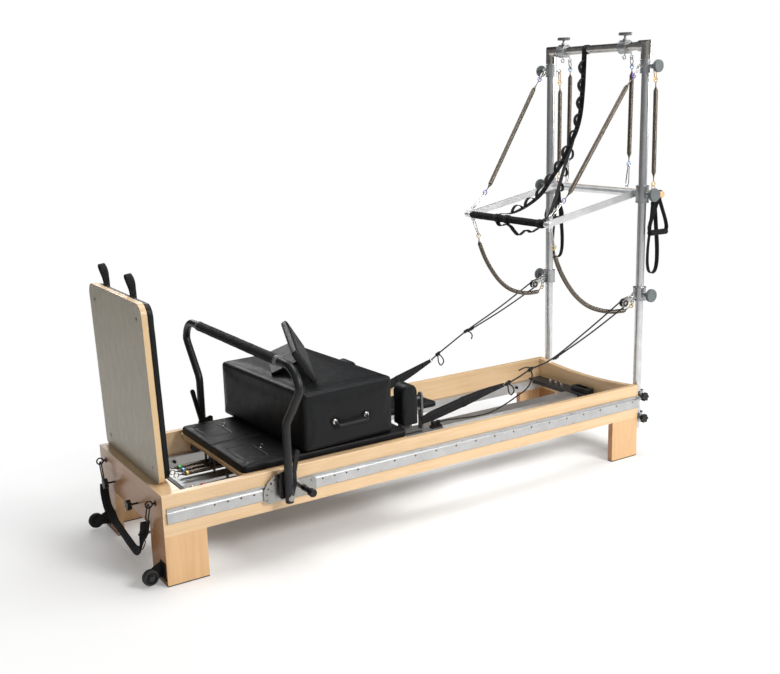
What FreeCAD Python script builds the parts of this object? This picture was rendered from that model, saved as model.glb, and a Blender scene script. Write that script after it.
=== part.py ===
# Pilates reformer with tower, jump board, sitting box and foot bar.
# X runs along the bed (foot end -X, tower end +X), Y across (near side -Y), Z up, floor at Z 0.
# On export everything moves by SHIFT_X so that the origin is the bottom centre of the whole.
import FreeCAD, Part
import os, math

Vec = FreeCAD.Vector
os.makedirs("parts", exist_ok=True)

# ---------------------------------------------------------------- driving dimensions (mm)
SHIFT_X = -36.1
SIDES = (-1, 1)                       # near side, far side

# bed
BED_LENGTH, BED_WIDTH = 2400.0, 720.0
RAIL_TOP, RAIL_HEIGHT = 355.0, 160.0
BOARD_T = 28.0                        # thickness of side rails, legs and head board
FOOT_X, HEAD_X = -BED_LENGTH / 2, BED_LENGTH / 2
RAIL_OUT = BED_WIDTH / 2              # outer face of a rail
RAIL_IN = RAIL_OUT - BOARD_T          # inner face of a rail
RAIL_BOTTOM = RAIL_TOP - RAIL_HEIGHT
LEG_X, LEG_Y, FOOT_PAD_T = 164.0, 153.0, 4.0
CROSS_WIDTH = 82.0                    # foot crossbeam
HEAD_BOARD_X = HEAD_X - BOARD_T       # face of the head board towards the carriage
EYE_BOLT_Y, EYE_BOLT_Z = 288, 307     # eye bolts at the foot end
FOOT_KNOB_Z = 242
WHEEL_X, WHEEL_Z, WHEEL_R = -1252.0, 41.0, 31.0

# tracks
TRACK_TOP = 252.0                     # running surface of the inner tracks
TRACK_IN = 300.0                      # inboard face of an inner track
TRACK_OUT = RAIL_OUT + 10             # outer face of an outer track
BEAM_WIDTH = 80.0                     # central beam
HOLE_Z, HOLE_R = 280.0, 4.05          # index holes of the outer tracks
FINE_PITCH, COARSE_PITCH = 53.7, 104.7

# carriage
DECK_X0, DECK_X1, DECK_Y = -865.0, -103.0, 316.0
DECK_Z0, DECK_Z1, PAD_Z = 335.0, 350.0, 382.0
ROLLER_R = 20.0
ROLLER_FRONT_X, ROLLER_REAR_X = -800.0, -180.0
AXLE_Z = TRACK_TOP + ROLLER_R + 0.05
SPRING_YS = (-192.0, -150.0, 20.0, 62.5, 105.0)
SPRING_Z = 276.0
SHOULDER_Y = 232                      # middle of a shoulder bracket
BRACKET_Z = 321                       # underside of a shoulder bracket
HINGE_X, HINGE_Z = -89.0, 362.0       # headrest hinge

# sitting box
BOX_X, BOX_Y, BOX_HEIGHT = 436.0, 704.0, 246.0
BOX_CENTRE, BOX_YAW = (-404.5, 26.0), 3.6
BOX_Z = PAD_Z + 0.4

# foot bar
BAR_X, BAR_Z, BAR_Y, BAR_R = -718.5, 259.0, 419.5, 16.25   # pivot, arm position, tube radius
BAR_TOP, BAR_BOW = 788.0, 541.0
CHANNEL_Y = -BAR_Y + BAR_R            # inboard side of the near arm
LEVER_NEAR, LEVER_FAR = (-687.0, 318.0), (-730.0, 336.0)   # lever pins, x and z
PLUNGER_X, PLUNGER_TRAVEL = -652.0, 8.0

# tower
TOWER_X, TOWER_Y, TOWER_TOP = 1227.0, 325.0, 1941.0
TUBE_R, TUBE_BORE = 19.05, 16.5
SOCKET_ZS = (297, 188)
COLLAR_R, UPPER_COLLAR_R, ELBOW_R = 30.0, 26.0, 25.0
COLLARS = {"upper": (1819.0, 1879.0), "mid": (1231.0, 1310.0), "lower": (766.0, 830.0)}
CLAMP_Y = 211                         # eyes of the top clamps and their springs
PUSH_Z = 1273.0                       # pivot of the push-through bar, on the tower
PUSH_FRONT_X, PUSH_FRONT_Z = 680.0, 1170.0
ARM_Y = 285.0
ROLLDOWN_X, ROLLDOWN_Z = 1293, 1268
REAR_HOOK = (1290, 328, 1789)         # top ring of a rear spring, far side
PULLEY_X, PULLEY_Y, PULLEY_Z = 1124.0, 327.0, 765.0

# jump board
JUMP_X, JUMP_FACE_X = -1166.0, -1114  # back of the panel, face of the pad
JUMP_Y0, JUMP_Y1, JUMP_HEIGHT = -254.0, 360.0, 686.0
JUMP_LEAN, JUMP_PANEL_T = 1.7, 22.0
PIN_X = -1155.0
JUMP_MID_Y = (JUMP_Y0 + JUMP_Y1) / 2
PIN_YS = (JUMP_MID_Y - 140.0, JUMP_MID_Y + 140.0)


# ---------------------------------------------------------------- helpers
def box(x0, x1, y0, y1, z0, z1):
    """Box between two corners; each pair may come in either order."""
    return Part.makeBox(abs(x1 - x0), abs(y1 - y0), abs(z1 - z0),
                        Vec(min(x0, x1), min(y0, y1), min(z0, z1)))


def cylinder(start, axis, radius, length):
    return Part.makeCylinder(radius, length, Vec(*start), Vec(*axis))


def tube(start, axis, radius, bore, length):
    return cylinder(start, axis, radius, length).cut(cylinder(start, axis, bore, length))


def rod(start, end, radius):
    start, end = Vec(*start), Vec(*end)
    return Part.makeCylinder(radius, (end - start).Length, start, end - start)


def ring(centre, radius, wire, normal=(0, 1, 0)):
    return Part.makeTorus(radius, wire, Vec(*centre), Vec(*normal))


def mirror(shape):
    """Copy on the other side of the bed."""
    return shape.mirror(Vec(0, 0, 0), Vec(0, 1, 0))


def both(*shapes):
    return [s for shape in shapes for s in (shape, mirror(shape))]


def turn(shape, centre, axis, degrees):
    turned = shape.copy()
    turned.rotate(Vec(*centre), Vec(*axis), degrees)
    return turned


def prism(points, depth):
    corners = [Vec(*p) for p in points]
    return Part.Face(Part.makePolygon(corners + [corners[0]])).extrude(Vec(*depth))


def fillet(shape, radius, pick):
    """Round the picked edges. A radius the kernel refuses is tried smaller; if all fail the
    shape stays sharp."""
    edges = [edge for edge in shape.Edges if pick(edge)]
    for trial in (radius, radius * 0.6, radius * 0.3):
        try:
            result = shape.makeFillet(trial, edges)
            if result.isValid() and result.Volume > 0:
                return result
        except Exception:
            pass
    return shape


def mid(edge):
    return edge.BoundBox.Center


def along(edge, axis):
    tangent = edge.tangentAt(edge.FirstParameter)
    return abs(abs(getattr(tangent, axis)) - 1) < 1e-6 and edge.Curve.TypeId == "Part::GeomLine"


def rounded(shape, radius, axis=None):
    """Round all edges, or only the straight ones along one axis."""
    return fillet(shape, radius, lambda edge: axis is None or along(edge, axis))


def path(points, radii):
    """Poly-line as one wire, with one radius for each inner corner."""
    points = [Vec(*p) for p in points]
    edges, current = [], points[0]
    for before, corner, after, radius in zip(points, points[1:], points[2:], radii):
        back, ahead = (before - corner).normalize(), (after - corner).normalize()
        half = math.acos(max(-1, min(1, back.dot(ahead)))) / 2
        setback = radius / math.tan(half)
        start, end = corner + back * setback, corner + ahead * setback
        middle = corner + (back + ahead).normalize() * (radius / math.sin(half) - radius)
        if (start - current).Length > 1e-6:
            edges.append(Part.makeLine(current, start))
        edges.append(Part.Arc(start, middle, end).toShape())
        current = end
    edges.append(Part.makeLine(current, points[-1]))
    return Part.Wire(edges)


def sweep(wire, start, direction, radius):
    circle = Part.Wire([Part.makeCircle(radius, start, direction)])
    return wire.makePipeShell([circle], True, True)


def pipe(wire, radius):
    edge = wire.Edges[0]
    first = edge.FirstParameter
    return sweep(wire, edge.valueAt(first), edge.tangentAt(first), radius)


def link(start, end, radius=2.4, width=18):
    """Snap hook: a closed stadium of round wire, from the middle of one ring to the middle of
    the next and square to them."""
    start, end = Vec(*start), Vec(*end)
    run = (end - start).normalize()
    side = (Vec(0, 1, 0) - run * run.y).normalize()
    half = width / 2 - radius
    near, far = start + run * (half + radius), end - run * (half + radius)
    p0, p1, p2, p3 = near + side * half, far + side * half, far - side * half, near - side * half
    wire = Part.Wire([Part.makeLine(p0, p1), Part.Arc(p1, end - run * radius, p2).toShape(),
                      Part.makeLine(p2, p3), Part.Arc(p3, start + run * radius, p0).toShape()])
    return sweep(wire, p0, run, radius)


def strip(points, thick, width, normal=(0, 1, 0)):
    """Flat band along points in a plane, its width along the plane's normal."""
    normal = Vec(*normal).normalize()
    points = [Vec(*p) for p in points]
    low, high = [], []
    for i, point in enumerate(points):
        run = (points[min(i + 1, len(points) - 1)] - points[max(i - 1, 0)]).normalize()
        offset = normal.cross(run) * (thick / 2)
        low.append(point - offset - normal * (width / 2))
        high.append(point + offset - normal * (width / 2))
    return prism(low + high[::-1], normal * width)


def bolt(base, axis, radius=5.0, height=3.2):
    """Button head with a hex recess."""
    base, axis = Vec(*base), Vec(*axis).normalize()
    top = base + axis * height
    head = cylinder(base, axis, radius, height)
    head = fillet(head, height * 0.5, lambda edge: mid(edge).sub(top).Length < 0.5)
    spin = FreeCAD.Rotation(Vec(0, 0, 1), axis)
    angles = [math.radians(60 * k) for k in range(6)]
    hexagon = [base + axis * (height * 0.5) + spin.multVec(
        Vec(radius * 0.5 * math.cos(a), radius * 0.5 * math.sin(a), 0)) for a in angles]
    return head.cut(prism(hexagon, axis * height))


def star(base, axis):
    """Six-lobed knob head."""
    radius, height = 21, 17
    base, axis = Vec(*base), Vec(*axis).normalize()
    knob = cylinder(base, axis, radius * 0.78, height)
    spin = FreeCAD.Rotation(Vec(0, 0, 1), axis)
    for k in range(6):
        angle = math.radians(60 * k)
        lobe = Vec(radius * 0.72 * math.cos(angle), radius * 0.72 * math.sin(angle), 0)
        knob = knob.fuse(cylinder(base + spin.multVec(lobe), axis, radius * 0.3, height))
    return knob.removeSplitter()


def eye(centre, stem):
    """Wire eye facing along Y, on a short stem."""
    centre, stem = Vec(*centre), Vec(*stem)
    edge = centre + (stem - centre).normalize() * 8.5
    return ring(centre, 8.5, 2.6).fuse(rod(stem, edge, 2.8))


# ================================================================= timber bed
def side_rail():
    rail = box(FOOT_X, HEAD_X, -RAIL_OUT, -RAIL_IN, RAIL_BOTTOM, RAIL_TOP)
    return fillet(rail, 3, lambda edge: along(edge, "x") and mid(edge).z > RAIL_TOP - 1)


def foot_crossbeam():
    """Bored for the jump board pins, their star knobs and the eye bolts."""
    beam = box(FOOT_X, FOOT_X + CROSS_WIDTH, -RAIL_IN, RAIL_IN, RAIL_BOTTOM, RAIL_TOP)
    for y in PIN_YS:
        beam = beam.cut(cylinder((PIN_X, y, 218), (0, 0, 1), 5.05, 200))
        beam = beam.cut(cylinder((FOOT_X - 1, y, FOOT_KNOB_Z), (1, 0, 0), 4.0, PIN_X - FOOT_X + 1))
    for side in SIDES:
        beam = beam.cut(cylinder((FOOT_X - 1, side * EYE_BOLT_Y, EYE_BOLT_Z), (1, 0, 0), 4.0, 36))
    return beam


def head_board():
    """Board with a dished top edge."""
    x, end_z, dip_z = HEAD_BOARD_X, 353.5, 333
    dish = Part.Arc(Vec(x, -RAIL_IN, end_z), Vec(x, 0, dip_z), Vec(x, RAIL_IN, end_z)).toShape()
    rest = [Vec(x, RAIL_IN, end_z), Vec(x, RAIL_IN, RAIL_BOTTOM), Vec(x, -RAIL_IN, RAIL_BOTTOM),
            Vec(x, -RAIL_IN, end_z)]
    wire = Part.Wire([dish] + [Part.makeLine(a, b) for a, b in zip(rest, rest[1:])])
    return Part.Face(wire).extrude(Vec(BOARD_T, 0, 0))


def leg_slices(z0, z1):
    """L-section of the four legs: side boards flush with the rails, end boards with the ends."""
    slices = []
    for x0, inward in ((FOOT_X, 1), (HEAD_X, -1)):
        x1, xt = x0 + inward * LEG_X, x0 + inward * BOARD_T
        outline = [(x0, -RAIL_OUT), (x1, -RAIL_OUT), (x1, -RAIL_IN), (xt, -RAIL_IN),
                   (xt, -RAIL_OUT + LEG_Y), (x0, -RAIL_OUT + LEG_Y)]
        slices += both(prism([(x, y, z0) for x, y in outline], (0, 0, z1 - z0)))
    return slices


# ================================================================= tracks
# Outer track section: distance out from the rail, z. A groove runs along the upper part.
OUTER_TRACK = [(0, 246), (8, 246), (10, 248), (10, 287), (8.5, 289), (4, 289),
               (4, 299), (8.5, 299), (10, 301), (10, 304), (0, 304)]


def outer_track():
    x0, x1 = -1186, 1198
    track = prism([(x0, -RAIL_OUT - out, z) for out, z in OUTER_TRACK], (x1 - x0, 0, 0))
    holes = [-1003 + FINE_PITCH * k for k in range(4)]
    holes += [PLUNGER_X + FINE_PITCH * k for k in range(-2, 6)]
    holes += [1153 - COARSE_PITCH * k for k in range(14)]
    for x in holes:
        track = track.cut(cylinder((x, -TRACK_OUT - 1, HOLE_Z), (0, 1, 0), HOLE_R, 12))
    return track


def track_screws():
    """Screws on the face and in the groove, left out along the foot bar slider."""
    screws = []
    for x in [-1110 + 209.4 * k for k in range(12)]:
        if not -960 < x < -560:
            screws.append(bolt((x, -TRACK_OUT, 250.5), (0, -1, 0), 3.0, 1.6))
            screws.append(bolt((x - 6, -RAIL_OUT - 4, 294), (0, -1, 0), 3.6, 1.8))
    return both(*screws)


def hollow_track(y0, y1, z0, top_wall):
    x0, x1, wall = FOOT_X + CROSS_WIDTH, HEAD_BOARD_X, 3
    return box(x0, x1, y0, y1, z0, TRACK_TOP).cut(
        box(x0, x1, y0 + wall, y1 - wall, z0 + wall, TRACK_TOP - top_wall))


def inner_tracks():
    """A ledge track along each rail, and the central beam."""
    half = BEAM_WIDTH / 2
    return both(hollow_track(-RAIL_IN, -TRACK_IN, 203, 4)) + [
        hollow_track(-half, half, TRACK_TOP - 30, 3)]


def track_bumpers():
    """Round studs on the inboard faces of the inner tracks."""
    studs = [cylinder((x, -TRACK_IN, 232), (0, 1, 0), 7, 10) for x in (-905, 640, 985)]
    return both(*[fillet(s, 2, lambda edge: mid(edge).y > -TRACK_IN + 9) for s in studs])


PLATE_X, PLATE_T = 1096, 6            # head-end cross plate
PLATE_TOP = TRACK_TOP + PLATE_T


def head_cross_plate():
    """Plate with a lip between the tracks, and a low housing with a hand slot."""
    z = PLATE_TOP
    plate = box(PLATE_X, HEAD_BOARD_X, -RAIL_IN, RAIL_IN, TRACK_TOP, z)
    y0, y1 = BEAM_WIDTH / 2 + 4, TRACK_IN - 4
    for side in SIDES:
        plate = plate.fuse(box(PLATE_X, PLATE_X + 4, side * y0, side * y1, TRACK_TOP - 14, z))
    housing = rounded(box(1118, 1166, -96, 30, z, z + 26), 10, "z")
    housing = fillet(housing, 5, lambda edge: mid(edge).z > z + 25.9)
    housing = housing.cut(rounded(box(1130, 1154, -76, 10, z + 8, z + 30), 8, "z"))
    return [plate.removeSplitter(), housing]


def plate_studs():
    """Headed studs standing on the cross plate."""
    x, z = 1122, PLATE_TOP
    return [cylinder((x, y, z), (0, 0, 1), 4, 20).fuse(
        cylinder((x, y, z + 13), (0, 0, 1), 9, 9)).fuse(
        cylinder((x, y, z), (0, 0, 1), 7, 4)).removeSplitter() for y in (97, 141, 185)]


def spring_bar():
    """Spring anchor across the tracks, on the tower side of the jump board."""
    bar = box(-1058, -1042, -RAIL_IN, RAIL_IN, TRACK_TOP, TRACK_TOP + 42)
    for y in SPRING_YS:
        bar = bar.cut(cylinder((-1060, y, SPRING_Z), (1, 0, 0), 3.0, 20))
    return bar


# ================================================================= foot-end hardware
def clips_and_eyes():
    """Eye bolts in the crossbeam, each with a snap hook."""
    parts = []
    z = EYE_BOLT_Z
    for side in SIDES:
        y = side * EYE_BOLT_Y
        parts.append(cylinder((FOOT_X - 12, y, z), (1, 0, 0), 4.0, 46).fuse(
            cylinder((FOOT_X - 3, y, z), (1, 0, 0), 11, 3)))
        parts.append(ring((FOOT_X - 25, y, z), 13, 2.9).cut(
            cylinder((FOOT_X - 12, y, z), (1, 0, 0), 4.0, 30)))
        parts.append(link((FOOT_X - 25, y, z), (FOOT_X - 27, y - side * 34, 232), 2.8, 30))
    return parts


def foot_knobs():
    x = FOOT_X - 30
    return [star((x, y, FOOT_KNOB_Z), (-1, 0, 0)).fuse(
        cylinder((x, y, FOOT_KNOB_Z), (1, 0, 0), 3.95, 66)) for y in PIN_YS]


def wheel_bracket():
    """Single-sided bracket with its axle, on the end board of a foot leg."""
    face, x, y, z = FOOT_X - 3, WHEEL_X, -308, WHEEL_Z
    web = prism([(face, y, 22), (face, y, 84), (FOOT_X - 30, y, 72), (x - 9, y, 52),
                 (x - 9, y, 30), (FOOT_X - 30, y, 26)], (0, 4, 0))
    bracket = box(face, FOOT_X, -350, -296, 18, 88).fuse(web).removeSplitter()
    axle = cylinder((x, -304, z), (0, -1, 0), 5.0, 38).fuse(
        cylinder((x, -339.5, z), (0, -1, 0), 9, 4))
    bracket = bracket.fuse(axle).removeSplitter()
    for bolt_z in (30, 76):
        bracket = bracket.fuse(cylinder((face, -334, bolt_z), (-1, 0, 0), 5, 3))
    return bracket


def transport_wheel():
    wheel = rounded(cylinder((WHEEL_X, -314, WHEEL_Z), (0, -1, 0), WHEEL_R, 22), 6)
    wheel = wheel.cut(tube((WHEEL_X, -330, WHEEL_Z), (0, -1, 0), 22, 12, 8))
    return wheel.cut(cylinder((WHEEL_X, -300, WHEEL_Z), (0, -1, 0), 5.05, 60))


# ================================================================= jump board
def lean(shape):
    return turn(shape, (JUMP_X, 0.0, RAIL_TOP), (0, 1, 0), -JUMP_LEAN)


def jump_slab(x0, x1, inset, z0, bottom_r):
    """Upright slab with rounded top and bottom corners."""
    z1 = RAIL_TOP + JUMP_HEIGHT - inset
    slab = box(x0, x1, JUMP_Y0 + inset, JUMP_Y1 - inset, z0, z1)
    slab = fillet(slab, 46, lambda edge: along(edge, "x") and mid(edge).z > z1 - 1)
    return fillet(slab, bottom_r, lambda edge: along(edge, "x") and mid(edge).z < z0 + 1)


def jump_pins():
    return [cylinder((PIN_X, y, 224), (0, 0, 1), 5.0, 200) for y in PIN_YS]


def jumpboard_panel():
    panel = lean(jump_slab(JUMP_X, JUMP_X + JUMP_PANEL_T, 0, 355.9, 26))
    for pin in jump_pins():
        panel = panel.cut(pin)
    return panel


def jumpboard_pad():
    pad = jump_slab(JUMP_X + JUMP_PANEL_T, JUMP_FACE_X, 1, 357.8, 40)
    return lean(fillet(pad, 10, lambda edge: edge.BoundBox.XMin > JUMP_FACE_X - 0.5))


def jumpboard_posts():
    """Pins that stand in the crossbeam, and the screws on the back of the panel."""
    return jump_pins() + [lean(bolt((JUMP_X, y, z), (-1, 0, 0), 8.0, 3.0))
                          for z in (407, 977) for y in (299, -193)]


def jumpboard_loops():
    """Webbing loops standing above the pad."""
    x = JUMP_FACE_X - math.sin(math.radians(JUMP_LEAN)) * 600 + 12.6
    angles = [math.pi * k / 12 for k in range(13)]
    loops = []
    for y in (340.0, 20.0):
        arch = [(x, y + 17 * math.cos(a), 1089 + 18 * math.sin(a)) for a in angles]
        loops.append(strip([(x, y + 15, 990)] + arch + [(x, y - 15, 990)], 3.0, 24.0, (1, 0, 0)))
    return loops


# ================================================================= carriage
def carriage_deck():
    return rounded(box(DECK_X0, DECK_X1, -DECK_Y, DECK_Y, DECK_Z0, DECK_Z1), 22, "z")


def carriage_pad():
    """Pad with a seam in its foot half and a notch for the headrest hinge."""
    pad = box(DECK_X0 + 2, DECK_X1 + 3, -DECK_Y - 4, DECK_Y + 4, DECK_Z1, PAD_Z)
    pad = rounded(pad, 24, "z")
    pad = fillet(pad, 9, lambda edge: edge.BoundBox.ZMin > PAD_Z - 0.5)
    pad = pad.cut(box(DECK_X0 - 5, -560, -1.2, 1.2, DECK_Z1 + 8, PAD_Z + 1))
    return pad.cut(box(DECK_X1 - 1, DECK_X1 + 10, -76, 76, DECK_Z1 - 1, PAD_Z + 1))


def under_frame():
    frame = []
    for x in (-810.0, -190.0):                       # cross channels, open below
        frame.append(box(x, x + 50, -290, 290, 297, DECK_Z0).cut(
            box(x + 4, x + 46, -290, 290, 297, DECK_Z0 - 4)))
    for side in SIDES:
        frame.append(box(-760, -190, side * 262, side * 288, 305, DECK_Z0))
    for x in (ROLLER_FRONT_X, ROLLER_REAR_X):        # roller hangers with axles
        for side in SIDES:
            hanger = box(x - 26, x + 26, side * 291, side * 296, 259, DECK_Z0)
            hanger = fillet(hanger, 12, lambda edge: along(edge, "y") and mid(edge).z < 260)
            axle = cylinder((x, side * 296, AXLE_Z), (0, side, 0), 5.0, 32)
            frame.append(hanger.fuse(axle).removeSplitter())
    for y0, y1 in ((-6, 8), (33, 50), (76, 92), (-139, -121)):   # tabs at the foot end
        frame.append(box(-848, -843, y0, y1, 262, DECK_Z0))
    spring_plate = box(-330, -322, -215, 130, 258, DECK_Z0)
    for y in SPRING_YS:
        spring_plate = spring_plate.cut(cylinder((-340, y, SPRING_Z), (1, 0, 0), 3.0, 30))
    return frame + [spring_plate]


def rope_cleat(side):
    z = BRACKET_Z + 7
    cleat = box(70, 122, side * 221, side * 243, z, z + 11)
    for x in (83, 109):
        cleat = cleat.fuse(cylinder((x, side * SHOULDER_Y, z + 11), (0, 0, 1), 8, 14)).fuse(
            cylinder((x, side * SHOULDER_Y, z + 24), (0, 0, 1), 11, 5))
    return cleat.removeSplitter()


def hinge_rod():
    """Headrest hinge rod between two lugs on the tower-side edge of the deck."""
    hinge = cylinder((HINGE_X, -74, HINGE_Z), (0, 1, 0), 4.0, 148)
    z = DECK_Z0 - 6
    for side in SIDES:
        y0, y1 = side * 62, side * 74
        hinge = hinge.fuse(box(DECK_X1, HINGE_X + 8, y0, y1, z, HINGE_Z + 8)).fuse(
            box(DECK_X1 - 22, DECK_X1, y0, y1, z, DECK_Z0))
    return hinge.removeSplitter()


def roller(x):
    wheel = rounded(cylinder((x, -303, AXLE_Z), (0, -1, 0), ROLLER_R, 18), 3)
    return wheel.cut(cylinder((x, -290, AXLE_Z), (0, -1, 0), 5.06, 60))


def carriage_springs():
    """Each spring is a plain bar with a hook wire and a ring at the foot end."""
    x0, length, wire = -968, 610, 2.0
    parts = []
    for y in SPRING_YS:
        def wire_rod(start, end):
            return rod((start, y, SPRING_Z), (end, y, SPRING_Z), wire)
        parts += [cylinder((x0, y, SPRING_Z), (1, 0, 0), 9.5, length), wire_rod(-1041.5, -1013),
                  ring((-1001, y, SPRING_Z), 10, wire), wire_rod(-989, x0),
                  wire_rod(x0 + length, -330)]
    return parts


def shoulder_pad(side):
    pad = box(-109, -31, side * 208, side * 290, 383, 562)
    pad = fillet(pad, 38, lambda edge: along(edge, "y") and mid(edge).z > 561)
    return fillet(pad, 8, lambda edge: abs(abs(mid(edge).y) - 208) < 1
                  or abs(abs(mid(edge).y) - 290) < 1)


def shoulder_bracket(side):
    """Bracket under the deck with an upright post on the tower side of the pad."""
    y0, y1, y = side * 218, side * 246, side * SHOULDER_Y
    z, post_x = BRACKET_Z, 14
    bracket = box(-135, 128, y0, y1, z, z + 7).fuse(box(post_x, 22, y0, y1, z, 503))
    bracket = bracket.fuse(box(-135, -128, y0, y1, z, DECK_Z0))
    bracket = bracket.fuse(box(DECK_X1, post_x, y0, y1, DECK_Z0, DECK_Z0 + 6))
    bracket = bracket.fuse(box(DECK_X1, DECK_X1 + 7, y0, y1, z, DECK_Z0)).removeSplitter()
    bracket = fillet(bracket, 12, lambda edge: along(edge, "x") and mid(edge).z > 502)
    for bolt_z in (430, 478):
        bracket = bracket.fuse(cylinder((-31, y, bolt_z), (1, 0, 0), 7, 45))
        bracket = bracket.fuse(cylinder((22, y, bolt_z), (1, 0, 0), 9, 5))
    bracket = bracket.fuse(box(-92, -36, side * 220, side * 244, DECK_Z0 + 6, 383))
    return bracket.removeSplitter()


def headrest():
    """Cushion with a hinge barrel at its foot-end edge."""
    x0, z0, z1 = -81, 371, 402
    rest = rounded(box(x0, 198, -104, 104, z0, z1), 26, "z")
    rest = fillet(rest, 9, lambda edge: edge.BoundBox.ZMin > z1 - 0.5)
    rest = rest.fuse(box(x0, x0 + 8, -60, 60, 356, z0)).removeSplitter()
    barrel = cylinder((HINGE_X, -60, HINGE_Z), (0, 1, 0), 9, 120).fuse(
        box(HINGE_X, HINGE_X + 8, -60, 60, HINGE_Z - 4, HINGE_Z + 4)).cut(
        cylinder((HINGE_X, -70, HINGE_Z), (0, 1, 0), 4.05, 140)).removeSplitter()
    return rest.fuse(barrel).removeSplitter()


# ================================================================= sitting box and platform
def place_on_pad(shape):
    shape.translate(Vec(*BOX_CENTRE, BOX_Z))
    return turn(shape, (*BOX_CENTRE, 0), (0, 0, 1), BOX_YAW)


def sitting_box():
    return place_on_pad(rounded(
        box(-BOX_X / 2, BOX_X / 2, -BOX_Y / 2, BOX_Y / 2, 0, BOX_HEIGHT), 13))


def box_handle(side, seat):
    face, reach, z = -BOX_Y / 2, 22, 104
    wire = path([(-76, face, z), (-70, face - reach, 91), (70, face - reach, 91), (76, face, z)],
                [12, 12])
    handle = pipe(wire, 6.0)
    for x in (-76, 76):
        handle = handle.fuse(cylinder((x, face, z), (0, -1, 0), 10, 4))
    handle = handle.removeSplitter()
    if side > 0:
        handle = turn(handle, (0, 0, 0), (0, 0, 1), 180)
    return place_on_pad(handle).cut(seat)


def platform_board():
    """Tilted board on its long edge above the sitting box, leaning over a prop panel."""
    floor = BOX_Z + BOX_HEIGHT + 0.6
    width, length, thick = 161.0, 480.0, 29.0
    corner, low_corner, far_corner = Vec(-400, 186, 810), Vec(-320, 162, 672), Vec(-577, -259, 786)
    v = (far_corner - corner).normalize()
    u = low_corner - corner
    u = (u - v * u.dot(v)).normalize()
    w = u.cross(v)
    placing = FreeCAD.Matrix(u.x, v.x, w.x, corner.x, u.y, v.y, w.y, corner.y,
                             u.z, v.z, w.z, corner.z, 0, 0, 0, 1)
    board = rounded(Part.makeBox(width, length, thick), 4).transformGeometry(placing)
    board = board.cut(box(-900, 0, -600, 600, floor - 60, floor))

    start = Vec(-575, -10, 637)
    edge = Vec(0.40, 0.916, 0).normalize()
    rise = Vec(88, -33, 38)
    rise = (rise - edge * rise.dot(edge)).normalize()
    long_side, short_side = edge * 360, rise * 128
    prop = prism([start, start + long_side, start + long_side + short_side, start + short_side],
                 edge.cross(rise).normalize() * 12)
    prop = prop.cut(board).cut(box(-900, 0, -600, 600, floor - 90, floor))
    # of the pieces left by the cuts, keep the large one nearest the foot end
    prop = min(prop.Solids, key=lambda s: s.CenterOfMass.x if s.Volume > 20000 else 9999)
    return [board, prop]


# ================================================================= foot bar
def footbar_slider():
    """Sector plate on a runner in the outer track's groove, with pivot pin and plunger housing."""
    face, skin = -372, -376           # inner and outer face of the plate
    out = (0, -1, 0)
    lower = rounded(prism([(-804, face, 232), (-578, face, 232), (-578, face, 303),
                           (-804, face, 303)], (0, -4, 0)), 20, "y")
    lobe = cylinder((BAR_X, face, BAR_Z), out, 88, 4)
    lobe = lobe.common(box(-820, -662, -380, -360, 262, 400))
    plate = lower.fuse(lobe).removeSplitter()
    for degrees in (172, 154, 136, 121):
        angle = math.radians(degrees)
        hole = (BAR_X + 75 * math.cos(angle), -360, BAR_Z + 75 * math.sin(angle))
        plate = plate.cut(cylinder(hole, out, 4.6, 30))
    plate = plate.cut(cylinder((PLUNGER_X, -360, HOLE_Z), out, HOLE_R, 30))
    runner = box(-800, -586, face, -364.1, 289.6, 298.4)
    pin = cylinder((BAR_X, skin, BAR_Z), out, 6.0, 64).fuse(
        cylinder((BAR_X, -436.5, BAR_Z), out, 11, 6))
    housing = tube((PLUNGER_X, skin, HOLE_Z), out, 11, HOLE_R, 44).fuse(
        tube((PLUNGER_X, skin, HOLE_Z), out, 15, HOLE_R, 6))
    slider = plate.fuse(runner).fuse(pin).fuse(housing).removeSplitter()
    for x, z in ((-790, 245), (-770, 279), (-596, 245), (-596, 286)):
        slider = slider.fuse(bolt((x, skin, z), out, 5, 3))
    return slider


def pivot_bore():
    return cylinder((BAR_X, -380, BAR_Z), (0, -1, 0), 6.05, 80)


def footbar():
    """Bent tube, built as one half and mirrored."""
    wire = path([(BAR_X, -BAR_Y, 237), (BAR_X, -BAR_Y, 548), (BAR_X, -BAR_BOW, 700),
                 (BAR_X, -BAR_BOW - 1, BAR_TOP), (BAR_X, 0, BAR_TOP + 1.5)], [70, 60, 88])
    arm = pipe(wire, BAR_R)
    arm = arm.cut(box(BAR_X - 100, BAR_X + 100, 0, 400, 600, 900)).cut(pivot_bore())
    arm = max(arm.Solids, key=lambda s: s.Volume)
    return arm.fuse(mirror(arm)).removeSplitter()


def lever_channel(side, lever_pin):
    """Channel on the inboard side of an arm, carrying the lever's pin."""
    y = CHANNEL_Y
    outline = [(-745, 250), (-690, 250), (-676, 300), (-676, 368), (-688, 374), (-745, 356)]
    channel = prism([(x, y, z) for x, z in outline], (0, 4, 0)).cut(pivot_bore())
    channel = channel.fuse(box(-745, -741, y + 4, y + 18, 252, 330)).removeSplitter()
    x, z = lever_pin
    channel = channel.fuse(cylinder((x, y + 4, z), (0, 1, 0), 4.0, 15)).removeSplitter()
    for x, z in ((-686, 354), (-687, 318), (-741.2, 294), (-741.2, 268)):
        channel = channel.fuse(bolt((x, y, z), (0, -1, 0), 4.6, 4))
    return channel if side < 0 else mirror(channel)


def footbar_grip(bar):
    half = 386
    grip = tube((BAR_X, -half, BAR_TOP + 0.4), (0, 1, 0), 21.0, BAR_R, 2 * half)
    grip = fillet(grip, 3, lambda edge: abs(abs(mid(edge).y) - half) < 1 and edge.Length > 110)
    return grip.cut(bar)


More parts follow.
